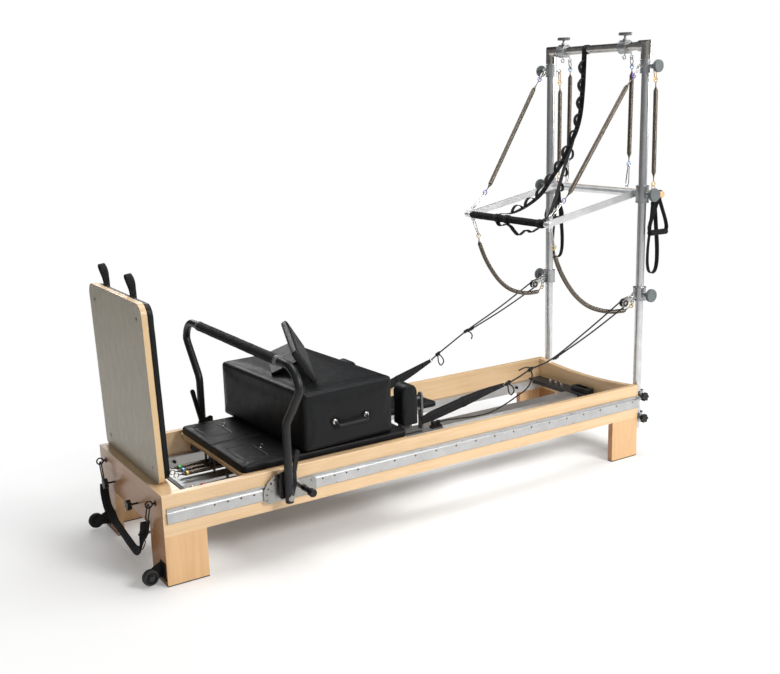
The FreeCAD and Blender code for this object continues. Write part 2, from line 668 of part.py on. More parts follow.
def lever(pin, tip):
    """Flat near-side handle with a round tip, bored for its pin, and a short foot below it."""
    y = CHANNEL_Y + 6
    pin, tip = Vec(pin[0], y, pin[1]), Vec(tip[0], y, tip[1])
    run = (tip - pin).normalize()
    across = Vec(0, 1, 0).cross(run)
    foot = pin - run * 16
    handle = prism([foot - across * 7, pin - across * 8, tip - across * 10, tip + across * 10,
                    pin + across * 8, foot + across * 7], (0, 7, 0))
    handle = handle.fuse(cylinder(tip, (0, 1, 0), 10, 7)).fuse(
        cylinder(tip + Vec(0, -2.5, 0), (0, 1, 0), 5.5, 12))
    return handle.cut(cylinder(pin + Vec(0, -10, 0), (0, 1, 0), 4.05, 30)).removeSplitter()


def plunger():
    """Index pin drawn back just clear of the track; it travels PLUNGER_TRAVEL into a hole."""
    def piece(y, radius, length):
        return cylinder((PLUNGER_X, y, HOLE_Z), (0, -1, 0), radius, length)

    pin = piece(-TRACK_OUT - 0.3, 4.0, 64)
    pin = pin.fuse(piece(-420.5 - PLUNGER_TRAVEL, 7.5, 38))
    for k in range(4):
        pin = pin.fuse(piece(-432 - 6 * k, 9.0, 3))
    return pin.fuse(rounded(piece(-464, 16, 30), 6)).removeSplitter()


# ================================================================= tower
def uprights():
    return [tube((TOWER_X, side * TOWER_Y, 130), (0, 0, 1), TUBE_R, TUBE_BORE, 1775)
            for side in SIDES]


def tower_socket(side, z):
    y = side * TOWER_Y
    socket = box(HEAD_X, TOWER_X + 28, y - 28, y + 28, z - 24, z + 24)
    socket = fillet(socket, 18, lambda edge: along(edge, "z") and mid(edge).x > TOWER_X)
    return socket.cut(cylinder((TOWER_X, y, z - 30), (0, 0, 1), TUBE_R, 60)).cut(
        cylinder((TOWER_X, y, z), (0, side, 0), 4.0, 60))


def socket_knob(side, z):
    y = side * TOWER_Y
    return star((TOWER_X, y + side * 45, z), (0, side, 0)).fuse(cylinder(
        (TOWER_X, y + side * (TUBE_R + 0.4), z), (0, side, 0), 3.95, 30)).removeSplitter()


def tower_elbow(side):
    """Mitred elbow, a size larger than the tubes it takes."""
    y, x0, top = side * TOWER_Y, TOWER_X - 60, TOWER_TOP
    upright = cylinder((TOWER_X, y, 1882), (0, 0, 1), ELBOW_R, 120)
    level = cylinder((TOWER_X, side * 283, top), (0, side, 0), ELBOW_R, 120)
    wedge = prism([(x0, y - side * 100, top - 100), (x0, y + side * 100, top + 100),
                   (x0, y + side * 100, top - 200), (x0, y - side * 100, top - 200)], (120, 0, 0))
    elbow = upright.common(wedge).fuse(level.cut(wedge)).removeSplitter()
    return elbow.cut(cylinder((TOWER_X, y, 1880), (0, 0, 1), TUBE_R, 25)).cut(
        cylinder((TOWER_X, side * 280, top), (0, side, 0), TUBE_R, 14))


def top_tube():
    return tube((TOWER_X, -294, TOWER_TOP), (0, 1, 0), TUBE_R, TUBE_BORE, 588)


def sleeve(start, axis, radius, lip, length):
    """Tube around a tower tube, with a raised band at each end."""
    start, axis, band = Vec(*start), Vec(*axis), 5
    body = tube(start, axis, radius, TUBE_R, length)
    for offset in (0, length - band):
        body = body.fuse(tube(start + axis * offset, axis, radius + lip, TUBE_R, band))
    return body


def collar(name, side):
    """Collar on an upright, with a boss for its knob; the eyes differ by height."""
    x, y = TOWER_X, side * TOWER_Y
    z0, z1 = COLLARS[name]
    z = (z0 + z1) / 2
    radius = UPPER_COLLAR_R if name == "upper" else COLLAR_R
    body = sleeve((x, y, z0), (0, 0, 1), radius, 1.2, z1 - z0)
    boss = cylinder((x, y + side * 20, z), (0, side, 0), 11, 24)
    for start in (z, z - 60):
        boss = boss.cut(cylinder((x, y, start), (0, 0, 1), TUBE_R, 80))
    body = body.fuse(boss).removeSplitter()
    body = body.cut(cylinder((x, y + side * 23, z), (0, side, 0), 5.06, 40))
    if name == "upper":
        body = body.fuse(eye((x - 43, y, z), (x - 25, y, z))).fuse(
            eye((x + 57, y, z - 4), (x + 25, y, z)))
    elif name == "mid":               # blind hole for the push-through bar's pivot
        body = body.cut(cylinder((x, side * 290, PUSH_Z), (0, side, 0), 8.06, 10.5))
    else:
        body = body.fuse(eye((x - 43, y, z), (x - 29, y, z))).fuse(
            eye((x - 43, y, z - 24), (x - 28, y, z - 19)))
    return body


def collar_knob(name, side):
    """Fluted hand knob."""
    y, z, out = side * TOWER_Y, sum(COLLARS[name]) / 2, (0, side, 0)
    radius = 28.0 if name == "upper" else 31.0
    reach = radius + 2.8
    knob = rounded(cylinder((TOWER_X, y + side * 66, z), out, radius, 18), 4)
    for k in range(12):
        angle = math.radians(30 * k)
        flute = (TOWER_X + reach * math.cos(angle), y + side * 60, z + reach * math.sin(angle))
        knob = knob.cut(cylinder(flute, out, 4.4, 30))
    return knob.fuse(cylinder((TOWER_X, y + side * 24, z), out, 5.0, 44)).fuse(
        cylinder((TOWER_X, y + side * 46, z), out, 9, 20)).removeSplitter()


def top_clamp(side):
    """Clamp on the top tube, a knob above and two eyes below."""
    x, z, eye_y, up = TOWER_X, TOWER_TOP, side * CLAMP_Y, (0, 0, 1)
    y = eye_y + 21
    clamp = sleeve((x, y - 23, z), (0, 1, 0), COLLAR_R, 1.5, 46)
    clamp = clamp.fuse(cylinder((x, y, z + 24), up, 12, 14)).removeSplitter()
    clamp = clamp.fuse(cylinder((x, y, z + 36), up, 6, 20)).fuse(
        rounded(cylinder((x, y, z + 52), up, 31, 13), 4)).removeSplitter()
    clamp = clamp.cut(cylinder((x, y - 30, z), (0, 1, 0), TUBE_R, 60))
    for way in (-1, 1):
        clamp = clamp.fuse(eye((x + way * 24, eye_y, z - 47), (x + way * 18, eye_y, z - 25)))
    return clamp


# ================================================================= push-through bar
PUSH_RISE, PUSH_RUN = PUSH_Z - PUSH_FRONT_Z, TOWER_X - PUSH_FRONT_X
PUSH_ANGLE = math.atan2(PUSH_RISE, PUSH_RUN)
PUSH_LENGTH = math.hypot(PUSH_RISE, PUSH_RUN)


def arm_point(u, v):
    """x and z of a point u along an arm from its front end and v above its centre line."""
    cos, sin = math.cos(PUSH_ANGLE), math.sin(PUSH_ANGLE)
    return PUSH_FRONT_X + u * cos - v * sin, PUSH_FRONT_Z + u * sin + v * cos


TOP_STEM_X, TOP_STEM_Z = arm_point(24, 15)
LOW_STEM_X, LOW_STEM_Z = arm_point(16, -15)


def top_eye(side):
    return (TOP_STEM_X - 2, side * ARM_Y, TOP_STEM_Z + 12)


def low_eye(side):
    return (LOW_STEM_X, side * ARM_Y, LOW_STEM_Z - 12)


def push_bar_frame():
    """Two flat arms joined by a front core bar and a rear tube on the tower's axis."""
    front, rear = (PUSH_FRONT_X, PUSH_FRONT_Z), (TOWER_X, PUSH_Z)

    def across(place, y, way, radius, length):
        return cylinder((place[0], y, place[1]), (0, way, 0), radius, length)

    corners = [arm_point(u, v) for u, v in (
        (-14, -15), (PUSH_LENGTH + 14, -15), (PUSH_LENGTH + 14, 15), (-14, 15))]
    arm = rounded(prism([(x, -ARM_Y - 4, z) for x, z in corners], (0, 8, 0)), 12, "y")
    arm = arm.cut(across(rear, -300, 1, 12, 30))
    span = 2 * ARM_Y - 8
    core = across(front, -ARM_Y + 4, 1, 12.5, span)
    rear_tube = tube((TOWER_X, -ARM_Y + 4, PUSH_Z), (0, 1, 0), 18, 15, span)
    hub = across(rear, -ARM_Y + 4, -1, 12, 12).fuse(across(rear, -ARM_Y, -1, 8.0, 14.5))
    boss = rounded(across(front, -ARM_Y - 4, -1, 15.5, 24), 4)
    arm = arm.fuse(hub).fuse(boss)
    arm = arm.fuse(eye(top_eye(-1), (TOP_STEM_X, -ARM_Y, TOP_STEM_Z - 6)))
    arm = arm.fuse(eye(low_eye(-1), (LOW_STEM_X, -ARM_Y, LOW_STEM_Z + 6)))
    frame = core.fuse(rear_tube).fuse(arm).fuse(mirror(arm)).removeSplitter()
    for side in SIDES:
        frame = frame.fuse(ring((TOWER_X + 14, side * CLAMP_Y, PUSH_Z + 26), 8, 2.6))
        frame = frame.removeSplitter()
    return frame


def push_bar_foam():
    half = 270
    foam = tube((PUSH_FRONT_X, -half, PUSH_FRONT_Z), (0, 1, 0), 17.5, 12.5, 2 * half)
    return fillet(foam, 3, lambda edge: abs(abs(mid(edge).y) - half) < 1 and edge.Length > 100)


# ================================================================= tower springs
def spring(ring_a, start, end, ring_b, bend=None):
    """Closed coil drawn as a round bar, with a tapered neck and a ring at each end; the bend
    points, if any, curve it."""
    coil_r, ring_r, wire = 10.5, 13.0, 2.4
    if bend:
        curve = Part.BSplineCurve()
        curve.interpolate([Vec(*p) for p in [start] + bend + [end]])
        body = pipe(Part.Wire([curve.toShape()]), coil_r)
    else:
        body = rod(start, end, coil_r)
    for tip, centre in ((start, ring_a), (end, ring_b)):
        tip, centre = Vec(*tip), Vec(*centre)
        run = (centre - tip).normalize()
        neck = (centre - tip).Length - ring_r
        body = body.fuse(Part.makeCone(coil_r * 0.94, wire, min(16.0, neck * 0.7),
                                       tip - run * 0.6, run))
        body = body.fuse(cylinder(tip, run, wire * 0.9, neck + 0.4))
    for centre in (ring_a, ring_b):
        body = body.fuse(ring(centre, ring_r, wire))
    return body.removeSplitter()


# Bend of the curved springs: x, distance from the middle plane, z.
CURVED_BEND = [(762, 280, 955), (804, 282, 888), (860, 286, 822), (925, 292, 772),
               (990, 299, 744), (1065, 307, 727)]


def push_bar_springs(side):
    """Diagonal spring up to the upper collar and curved spring down to the lower collar."""
    up, down = (1152, side * 325, 1808), (774, side * 287, 1269)
    parts = [spring(up, (1111, side * 321, 1760), (807, side * 291, 1305), down),
             link((TOWER_X - 43, side * 325, 1849), up), link(down, top_eye(side))]
    up, down = (727, side * 280, 1062), (1177, side * 323.5, 745)
    return parts + [
        spring(up, (731, side * 279, 1024), (1140, side * 315, 724), down,
               [(x, side * y, z) for x, y, z in CURVED_BEND]),
        link(low_eye(side), up), link((TOWER_X - 43, side * 325, 774), down, width=19)]


def vertical_spring(side):
    """From a top clamp down to the rear tube of the push-through bar."""
    y = side * CLAMP_Y
    up, down = (1254, y, 1852), (1249, y, 1404)
    return [spring(up, (1254, y, 1817), (1250, y, 1447), down),
            link((TOWER_X + 24, y, TOWER_TOP - 47), up),
            link(down, (TOWER_X + 14, y, PUSH_Z + 26))]


def rear_hook(side):
    x, y, z = REAR_HOOK
    return (x, side * y, z)


def rear_spring(side):
    return spring(rear_hook(side), (1292, side * 328, 1745), (1293, side * 330, 1362),
                  (1293, side * 330, 1314))


def rolldown_bar():
    """Dowel hanging from the rear springs, with the snap hooks above them."""
    parts = []
    x, z = ROLLDOWN_X, ROLLDOWN_Z
    for side in SIDES:
        y = side * 330
        parts.append(link((TOWER_X + 57, side * 325, 1845), rear_hook(side)))
        hanger = ring((x, y, 1296), 10, 2.2, (1, 0, 0)).fuse(
            rod((x, y, 1287), (x, y, 1284.8), 3.0))
        hanger = hanger.fuse(tube((x, y - 4, z), (0, 1, 0), 18.4, 16.0, 8))
        parts.append(hanger.cut(cylinder((x, -400, z), (0, 1, 0), 16, 800)).removeSplitter())
    return parts + [rounded(cylinder((x, -390, z), (0, 1, 0), 16, 780), 5)]


# ================================================================= handles, pulleys and ropes
# Straps of a handle and the long loop beside it: x, z.
GRIP_STRAPS = ([(1291, 1246), (1246, 1145), (1234, 1107)],
               [(1296, 1246), (1342, 1145), (1354, 1107)])
LONG_LOOP = [(1289, 1238), (1275, 1120), (1262, 1000), (1264, 930), (1278, 896), (1294, 890),
             (1310, 898), (1323, 930), (1325, 1000), (1312, 1120), (1298, 1238)]
GRIP_Y = 366


def flat_strap(outline, y, thick, width):
    return strip([(x, y, z) for x, z in outline], thick, width)


def handle_grips():
    return [cylinder((1236, side * GRIP_Y, 1090), (1, 0, 0), 14, 116) for side in SIDES]


def handle_straps(side):
    return [flat_strap(outline, side * GRIP_Y, 3, 24) for outline in GRIP_STRAPS] + [
        flat_strap(LONG_LOOP, side * 336, 3, 22)]


def pulley_block(side):
    """Two cheeks on pins; the swivel ring hangs in the lower collar's upper eye."""
    x, y, z = PULLEY_X, side * PULLEY_Y, PULLEY_Z
    top = Vec(1158, y, 784)
    collar_eye = Vec(TOWER_X - 43, y, sum(COLLARS["lower"]) / 2)
    cheeks = []
    for way in (-1, 1):
        face = y + way * 8
        ear = prism([(x + 2, face, z + 19), (x + 19, face, z - 3), (x + 42, face, z + 14),
                     (x + 34, face, z + 27)], (0, way * 3, 0))
        cheeks.append(cylinder((x, face, z), (0, way, 0), 20, 3).fuse(ear))
    block = cheeks[0].fuse(cheeks[1]).fuse(cylinder((x, y - 11, z), (0, 1, 0), 4.0, 22)).fuse(
        cylinder((top.x, y - 11, top.z), (0, 1, 0), 4.0, 22))
    run = (top - collar_eye).normalize()
    centre = collar_eye + run * 12.7
    block = block.fuse(ring(centre, 10, 2.4, run.cross(Vec(0, 1, 0)))).fuse(
        rod(top, centre + run * 9.5, 2.6))
    return block.removeSplitter()


def pulley_sheave(side):
    x, y, z = PULLEY_X, side * PULLEY_Y, PULLEY_Z
    sheave = cylinder((x, y - 6.5, z), (0, 1, 0), 18, 13)
    return sheave.cut(ring((x, y, z), 17.7, 4.6)).cut(
        cylinder((x, y - 9, z), (0, 1, 0), 4.05, 18))


# Each rope: end of the lower run, then points of the upper run; x, distance inward of the
# pulley, z.
ROPES = {-1: [(690, 6, 556), (674, 6, 557), (564, 14, 529), (445, 28, 482), (300, 52, 453)],
         1: [(690, 6, 576), (675, 6, 577), (483, 30, 493), (440, 36, 472)]}


def rope(side):
    """Rope around the tower side of a pulley, both runs leading towards the foot end."""
    y, angle = side * PULLEY_Y, math.radians(21.6)
    centre = Vec(PULLEY_X, y, PULLEY_Z)
    normal = Vec(-math.sin(angle), 0, math.cos(angle))
    run = Vec(math.cos(angle), 0, math.sin(angle))
    above, below = centre + normal * 17.7, centre - normal * 17.7
    arc = Part.Wire([Part.Arc(above, centre + run * 17.7, below).toShape()])
    lower, *upper = [(x, y - side * inward, z) for x, inward, z in ROPES[side]]
    shape = sweep(arc, above, run, 3.6).fuse(rod(below, lower, 3.4))
    last = above
    for point in upper:
        shape = shape.fuse(rod(last, point, 3.6)).fuse(Part.makeSphere(3.6, Vec(*point)))
        last = point
    return shape.removeSplitter()


# Shoulder straps: y, then x, z of the points.
SHOULDER_STRAPS = ((-272, [(28, 418), (110, 429), (200, 441), (296, 455)]),
                   (280, [(28, 352), (110, 372), (200, 392), (300, 425), (432, 468)]))

# Strap hanging across the foot end: y, z. Strap from the tower's top tube: x, z.
FOOT_STRAP = [(243, 226), (246, 190), (212, 138), (150, 104), (40, 80), (-60, 68), (-120, 66),
              (-170, 92), (-205, 145), (-240, 226)]
TOWER_STRAP = [(1205, 1915), (1205, 1800), (1198, 1700), (1176, 1600), (1124, 1500),
               (1028, 1385), (900, 1280), (780, 1215), (704, 1190)]


def frame_webbing():
    wrap = tube((TOWER_X, 52, TOWER_TOP), (0, 1, 0), TUBE_R + 3.5, TUBE_R + 0.3, 26)
    return [strip([(FOOT_X - 28, y, z) for y, z in FOOT_STRAP], 3, 32, (1, 0, 0)), wrap,
            flat_strap(TOWER_STRAP, 66, 3, 26)]


# ================================================================= export
def per_side(make):
    return [make(side) for side in SIDES]


def lists_per_side(make):
    return make(-1) + make(1)


seat = sitting_box()
bar = footbar()
sockets = [(side, z) for side in SIDES for z in SOCKET_ZS]

PIECES = {
    "side_rail_near": [side_rail()],
    "side_rail_far": [mirror(side_rail())],
    "foot_crossbeam": [foot_crossbeam()],
    "head_board": [head_board()],
    "legs": leg_slices(FOOT_PAD_T, RAIL_BOTTOM),
    "rubber_feet": leg_slices(0, FOOT_PAD_T),
    "outer_tracks": both(outer_track()),
    "track_screws": track_screws() + plate_studs(),
    "inner_tracks": inner_tracks(),
    "track_bumpers": track_bumpers(),
    "head_cross_plate": head_cross_plate(),
    "spring_bar": [spring_bar()],
    "clips_and_eyes": clips_and_eyes(),
    "star_knobs": foot_knobs() + [socket_knob(*place) for place in sockets],
    "wheel_brackets": both(wheel_bracket()),
    "transport_wheels": both(transport_wheel()),
    "jumpboard_panel": [jumpboard_panel()],
    "jumpboard_pad": [jumpboard_pad()],
    "jumpboard_posts": jumpboard_posts(),
    "jumpboard_loops": jumpboard_loops(),
    "carriage_deck": [carriage_deck()],
    "carriage_pad": [carriage_pad()],
    "carriage_frame": under_frame() + per_side(rope_cleat) + [hinge_rod()],
    "rollers_front": both(roller(ROLLER_FRONT_X)),
    "rollers_rear": both(roller(ROLLER_REAR_X)),
    "carriage_springs": carriage_springs(),
    "shoulder_pads": per_side(shoulder_pad),
    "shoulder_brackets": per_side(shoulder_bracket),
    "headrest": [headrest()],
    "sitting_box": [seat],
    "box_handles": [box_handle(side, seat) for side in SIDES],
    "platform_board": platform_board(),
    "footbar_sliders": both(footbar_slider()),
    "footbar_tube": [bar, lever_channel(-1, LEVER_NEAR), lever_channel(1, LEVER_FAR)],
    "footbar_grip": [footbar_grip(bar)],
    "lever_near": [lever(LEVER_NEAR, (-665, 420))],
    "lever_far": [mirror(lever(LEVER_FAR, (-765, 498)))],
    "plunger_near": [plunger()],
    "plunger_far": [mirror(plunger())],
    "uprights": uprights(),
    "tower_sockets": [tower_socket(*place) for place in sockets],
    "tower_top_bar": per_side(tower_elbow) + [top_tube()],
    "collars": [collar(name, side) for name in COLLARS for side in SIDES],
    "top_clamps": per_side(top_clamp),
    "push_bar_frame": [push_bar_frame()],
    "push_bar_foam": [push_bar_foam()],
    "springs_push_bar": lists_per_side(push_bar_springs),
    "springs_vertical": lists_per_side(vertical_spring),
    "springs_rear": per_side(rear_spring),
    "rolldown_bar": rolldown_bar(),
    "handle_grips": handle_grips(),
    "handle_straps": lists_per_side(handle_straps),
    "pulley_blocks": per_side(pulley_block),
    "pulley_sheaves": per_side(pulley_sheave),
    "ropes": per_side(rope),
    "shoulder_straps": [flat_strap(outline, y, 26, 6) for y, outline in SHOULDER_STRAPS],
    "frame_webbing": frame_webbing(),
}
for name in COLLARS:
    PIECES["knobs_" + name] = [collar_knob(name, side) for side in SIDES]

for name, shapes in PIECES.items():
    solids = [solid for shape in shapes for solid in shape.Solids]
    for solid in solids:
        solid.translate(Vec(SHIFT_X, 0, 0))
    piece = solids[0] if len(solids) == 1 else Part.makeCompound(solids)
    piece.exportStep("parts/%s.step" % name)
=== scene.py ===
"""Exercise bed with a sliding carriage, a jump board, a footbar and a tower.

X runs along the bed, from the jump board and footbar at -X to the tower at +X. The near side
is -Y, the far side is +Y, Z is up and the floor is at zero. Places on the bed are in mm and
go through place(); sizes of sections, covers and materials are in metres.
"""
import math

import bmesh
import bpy
import numpy as np
from mathutils import Matrix, Vector
from mathutils.bvhtree import BVHTree

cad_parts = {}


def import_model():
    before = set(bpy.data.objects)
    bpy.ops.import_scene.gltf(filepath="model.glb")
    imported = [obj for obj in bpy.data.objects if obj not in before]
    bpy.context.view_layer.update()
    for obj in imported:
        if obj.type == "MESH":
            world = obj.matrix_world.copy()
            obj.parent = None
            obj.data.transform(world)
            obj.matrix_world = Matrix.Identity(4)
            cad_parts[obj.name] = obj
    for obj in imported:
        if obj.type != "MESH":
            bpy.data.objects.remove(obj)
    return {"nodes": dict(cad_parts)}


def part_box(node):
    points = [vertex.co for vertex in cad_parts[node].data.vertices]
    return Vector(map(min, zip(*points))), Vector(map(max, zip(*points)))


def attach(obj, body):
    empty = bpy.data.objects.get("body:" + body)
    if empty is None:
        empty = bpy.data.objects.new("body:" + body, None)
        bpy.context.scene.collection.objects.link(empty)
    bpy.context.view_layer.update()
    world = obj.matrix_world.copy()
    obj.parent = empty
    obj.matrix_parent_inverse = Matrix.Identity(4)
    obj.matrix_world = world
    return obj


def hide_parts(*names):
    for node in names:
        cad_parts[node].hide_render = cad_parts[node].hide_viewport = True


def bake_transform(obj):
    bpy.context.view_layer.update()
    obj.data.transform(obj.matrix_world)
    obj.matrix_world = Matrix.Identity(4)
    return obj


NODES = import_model()["nodes"]
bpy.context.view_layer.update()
COLLECTION = bpy.context.scene.collection

X_SHIFT = -0.0361  # bed frame to scene, metres
SIDES = ((-1, "near"), (1, "far"))
FULL_TURN = 2 * math.pi

# Places shared by several pieces, mm
TOWER_X, TOWER_TOP = 1227.0, 1941.0
PUSH_BAR_X, PUSH_BAR_Z = 680, 1170
ROLLDOWN_X = 1293
PULLEY_X, PULLEY_Y, PULLEY_Z = 1124.0, 327.0, 765.0
FOOTBAR_X, FOOTBAR_TOP = -718.5, 788.4


def place(x, y, z):
    """Bed frame in mm to the scene in metres."""
    return Vector((x / 1000 + X_SHIFT, y / 1000, z / 1000))


def places(points, side=1):
    """Scene places; side -1 mirrors the points to the near side."""
    return [place(x, side * y, z) for x, y, z in points]


# ------------------------------------------------------------------ material nodes
class Nodes:
    """A node tree emptied and filled by short calls."""

    def __init__(self, tree):
        self.tree = tree
        tree.nodes.clear()

    def node(self, kind, **settings):
        node = self.tree.nodes.new("ShaderNode" + kind)
        for key, value in settings.items():
            setattr(node, key, value)
        return node

    def link(self, output, socket):
        self.tree.links.new(output, socket)

    def feed(self, socket, value):
        if isinstance(value, (int, float, tuple)):
            socket.default_value = value
        else:
            self.link(value, socket)

    def ramp(self, value, stops):
        """Grey ramp; stops are (position, grey)."""
        node = self.node("ValToRGB")
        elements = node.color_ramp.elements
        while len(elements) < len(stops):
            elements.new(0.5)
        for element, (position, grey) in zip(elements, stops):
            element.position = position
            element.color = (grey, grey, grey, 1)
        self.link(value, node.inputs[0])
        return node.outputs[0]


class Material(Nodes):
    """Principled material."""

    INPUTS = {
        "color": "Base Color", "roughness": "Roughness", "metallic": "Metallic",
        "specular": "Specular IOR Level", "coat": "Coat Weight",
        "coat_roughness": "Coat Roughness", "sheen": "Sheen Weight",
        "sheen_roughness": "Sheen Roughness",
    }

    def __init__(self, name):
        self.material = bpy.data.materials.new(name)
        self.material.use_nodes = True
        super().__init__(self.material.node_tree)
        self.output = self.node("OutputMaterial")
        self.shader = self.node("BsdfPrincipled")
        self.link(self.shader.outputs[0], self.output.inputs[0])
        self.coords = self.node("TexCoord")

    def surface(self, **values):
        for key, value in values.items():
            self.feed(self.shader.inputs[self.INPUTS[key]], value)

    def texture(self, kind, scale, stretch=1, source="Object", turn=0.0, offset=(0, 0, 0),
                inputs=(), **settings):
        """Texture node on mapped coordinates; stretch is one number or one per axis."""
        mapping = self.node("Mapping")
        if not isinstance(stretch, tuple):
            stretch = (stretch,) * 3
        mapping.inputs["Scale"].default_value = stretch
        mapping.inputs["Rotation"].default_value = (0, 0, turn)
        mapping.inputs["Location"].default_value = offset
        self.link(self.coords.outputs[source], mapping.inputs["Vector"])
        node = self.node(kind, **settings)
        node.inputs["Scale"].default_value = scale
        for key, value in dict(inputs).items():
            node.inputs[key].default_value = value
        self.link(mapping.outputs[0], node.inputs["Vector"])
        return node.outputs

    def noise(self, stretch, detail, rough=0.5, distortion=0.0, offset=(0, 0, 0)):
        inputs = {"Detail": detail, "Roughness": rough, "Distortion": distortion}
        return self.texture("TexNoise", 1.0, stretch, offset=offset, inputs=inputs)[0]

    def cells(self, scale, feature="F1"):
        return self.texture("TexVoronoi", scale, feature=feature)["Distance"]

    def wave(self, scale, direction="X", distortion=0.0, detail=0.0, **mapping):
        inputs = {"Distortion": distortion, "Detail": detail}
        return self.texture("TexWave", scale, inputs=inputs, bands_direction=direction,
                            **mapping)[1]

    def math(self, operation, first, second=0.0):
        node = self.node("Math", operation=operation)
        self.feed(node.inputs[0], first)
        self.feed(node.inputs[1], second)
        return node.outputs[0]

    def rise(self, value, at, to=(0.0, 1.0)):
        """Ramp between two positions, from one grey to another."""
        return self.ramp(value, tuple(zip(at, to)))

    def mix(self, factor, first, second, mode="MIX"):
        node = self.node("Mix", data_type="RGBA", blend_type=mode)
        self.feed(node.inputs[0], factor)
        for index, color in ((6, first), (7, second)):
            self.feed(node.inputs[index], (*color, 1) if isinstance(color, tuple) else color)
        return node.outputs[2]

    def tint(self, color, toward, mask, amount, mode="MIX"):
        return self.mix(self.math("MULTIPLY", mask, amount), color, toward, mode)

    def bump(self, height, distance, strength, under=None):
        node = self.node("Bump")
        node.inputs["Strength"].default_value = strength
        node.inputs["Distance"].default_value = distance
        self.link(height, node.inputs["Height"])
        if under is not None:
            self.link(under, node.inputs["Normal"])
        self.link(node.outputs[0], self.shader.inputs["Normal"])
        return node.outputs[0]

    def xyz(self, source="Object"):
        node = self.node("SeparateXYZ")
        self.link(self.coords.outputs[source], node.inputs[0])
        return node.outputs

    def length(self, first, second):
        squares = [self.math("MULTIPLY", value, value) for value in (first, second)]
        return self.math("SQRT", self.math("ADD", *squares))

    def radius(self, x, z):
        """Distance from a cross axis at x, z in metres."""
        axes = self.xyz()
        return self.length(self.math("SUBTRACT", axes[0], x), self.math("SUBTRACT", axes[2], z))

    def edges(self, at):
        """Mask of the convex edges."""
        return self.rise(self.node("NewGeometry").outputs["Pointiness"], at=at)


def shade(color, factor, lift=0.0):
    return tuple(min(1, value * factor + lift) for value in color)


def streak(axis, along, across):
    """Texture stretch with one scale along an axis and another across it."""
    stretch = [across] * 3
    stretch["XYZ".index(axis)] = along
    return tuple(stretch)


# ------------------------------------------------------------------ materials
def wood(name, axis, light=(0.76, 0.545, 0.325), dark=(0.61, 0.395, 0.205), stave=None,
         shade_minus_x_faces=False, seed=0.0):
    """Grain along an axis; stave is the axis and width of the glued strips."""
    mat = Material(name)
    figure = mat.noise(streak(axis, along=2.2, across=42), detail=6, rough=0.55,
                       distortion=1.4, offset=(seed, seed, seed))
    fine = mat.noise(streak(axis, along=14, across=520), detail=3, rough=0.6,
                     distortion=0.2, offset=(seed, 0, 0))
    pore = mat.noise(streak(axis, along=60, across=1500), detail=1)
    cloud = mat.noise(7, detail=2)
    figure = mat.ramp(figure, ((0.30, 0.0), (0.52, 0.45), (0.70, 1.0)))
    color = mat.mix(figure, light, dark)
    color = mat.tint(color, shade(dark, 0.80), mat.rise(fine, at=(0.45, 0.72)), amount=0.30)
    color = mat.tint(color, shade(dark, 0.55), mat.rise(pore, at=(0.64, 0.72)), amount=0.35)
    color = mat.tint(color, shade(light, 1.13), mat.rise(cloud, at=(0.35, 0.65)), amount=0.22)
    if stave:
        stave_axis, width = stave
        across = mat.xyz()["XYZ".index(stave_axis)]
        number = mat.math("FLOOR", mat.math("MULTIPLY", across, 1.0 / width))
        random = mat.node("TexWhiteNoise", noise_dimensions="1D")
        mat.link(number, random.inputs["W"])
        color = mat.tint(color, shade(dark, 0.72), random.outputs[0], amount=0.16)
    # painted highlight: the convex edges are lightened as if catching the light
    color = mat.tint(color, shade(light, 1.15), mat.edges(at=(0.53, 0.62)), amount=0.25)
    if shade_minus_x_faces:
        # painted shade: the faces turned to -X are multiplied darker, standing in for the weak
        # light on that side
        normal = mat.node("SeparateXYZ")
        mat.link(mat.node("NewGeometry").outputs["True Normal"], normal.inputs[0])
        mask = mat.rise(mat.math("MULTIPLY", normal.outputs[0], -1.0), at=(0.80, 0.92))
        color = mat.tint(color, (0.52, 0.33, 0.20), mask, amount=0.85, mode="MULTIPLY")
    mat.surface(color=color, roughness=mat.rise(cloud, at=(0.3, 0.7), to=(0.30, 0.40)),
                coat=0.35, coat_roughness=0.16)
    mat.bump(pore, distance=0.00006, strength=0.5)
    return mat.material


def metal(name, base, rough, brushed=None, across=900.0):
    """Bare metal; brushed is the axis of the brush lines, across their fineness."""
    mat = Material(name)
    cloud = mat.noise(18, detail=4, rough=0.6)
    color = mat.mix(mat.rise(cloud, at=(0.3, 0.7)), shade(base, 0.90), shade(base, 1.06))
    if brushed:
        lines = mat.noise(streak(brushed, along=5, across=across), detail=3, rough=0.6)
        color = mat.tint(color, shade(base, 0.80), mat.rise(lines, at=(0.35, 0.7)), amount=0.14)
        roughness = mat.rise(lines, at=(0.3, 0.7), to=(rough - 0.03, rough + 0.04))
        mat.bump(lines, distance=0.000012, strength=0.30)
    else:
        fine = mat.noise(420, detail=3, rough=0.6)
        roughness = mat.rise(cloud, at=(0.3, 0.7), to=(rough - 0.05, rough + 0.07))
        mat.bump(fine, distance=0.00002, strength=0.4)
    mat.surface(color=color, roughness=roughness, metallic=1.0)
    return mat.material


def powder(name, base, rough=0.42, peel=0.00010, edge_highlight=0.25, highlight_color=(0.20, 0.20, 0.20)):
    """Powder coat or moulded plastic, with a painted highlight toward a lighter colour on the
    convex edges.
    """
    mat = Material(name)
    grain = mat.noise(700, detail=2)
    dust = mat.noise(22, detail=5, rough=0.65)
    color = mat.tint(base, shade(base, 1.7, lift=0.001), mat.rise(dust, at=(0.45, 0.8)),
                     amount=0.35)
    # painted highlight: the convex edges are lightened toward the highlight colour
    color = mat.tint(color, shade(highlight_color, 0.4), mat.edges(at=(0.54, 0.64)), amount=edge_highlight)
    roughness = mat.rise(dust, at=(0.3, 0.75), to=(rough - 0.06, rough + 0.10))
    mat.surface(color=color, specular=0.32, roughness=roughness)
    mat.bump(grain, distance=peel, strength=0.5)
    return mat.material


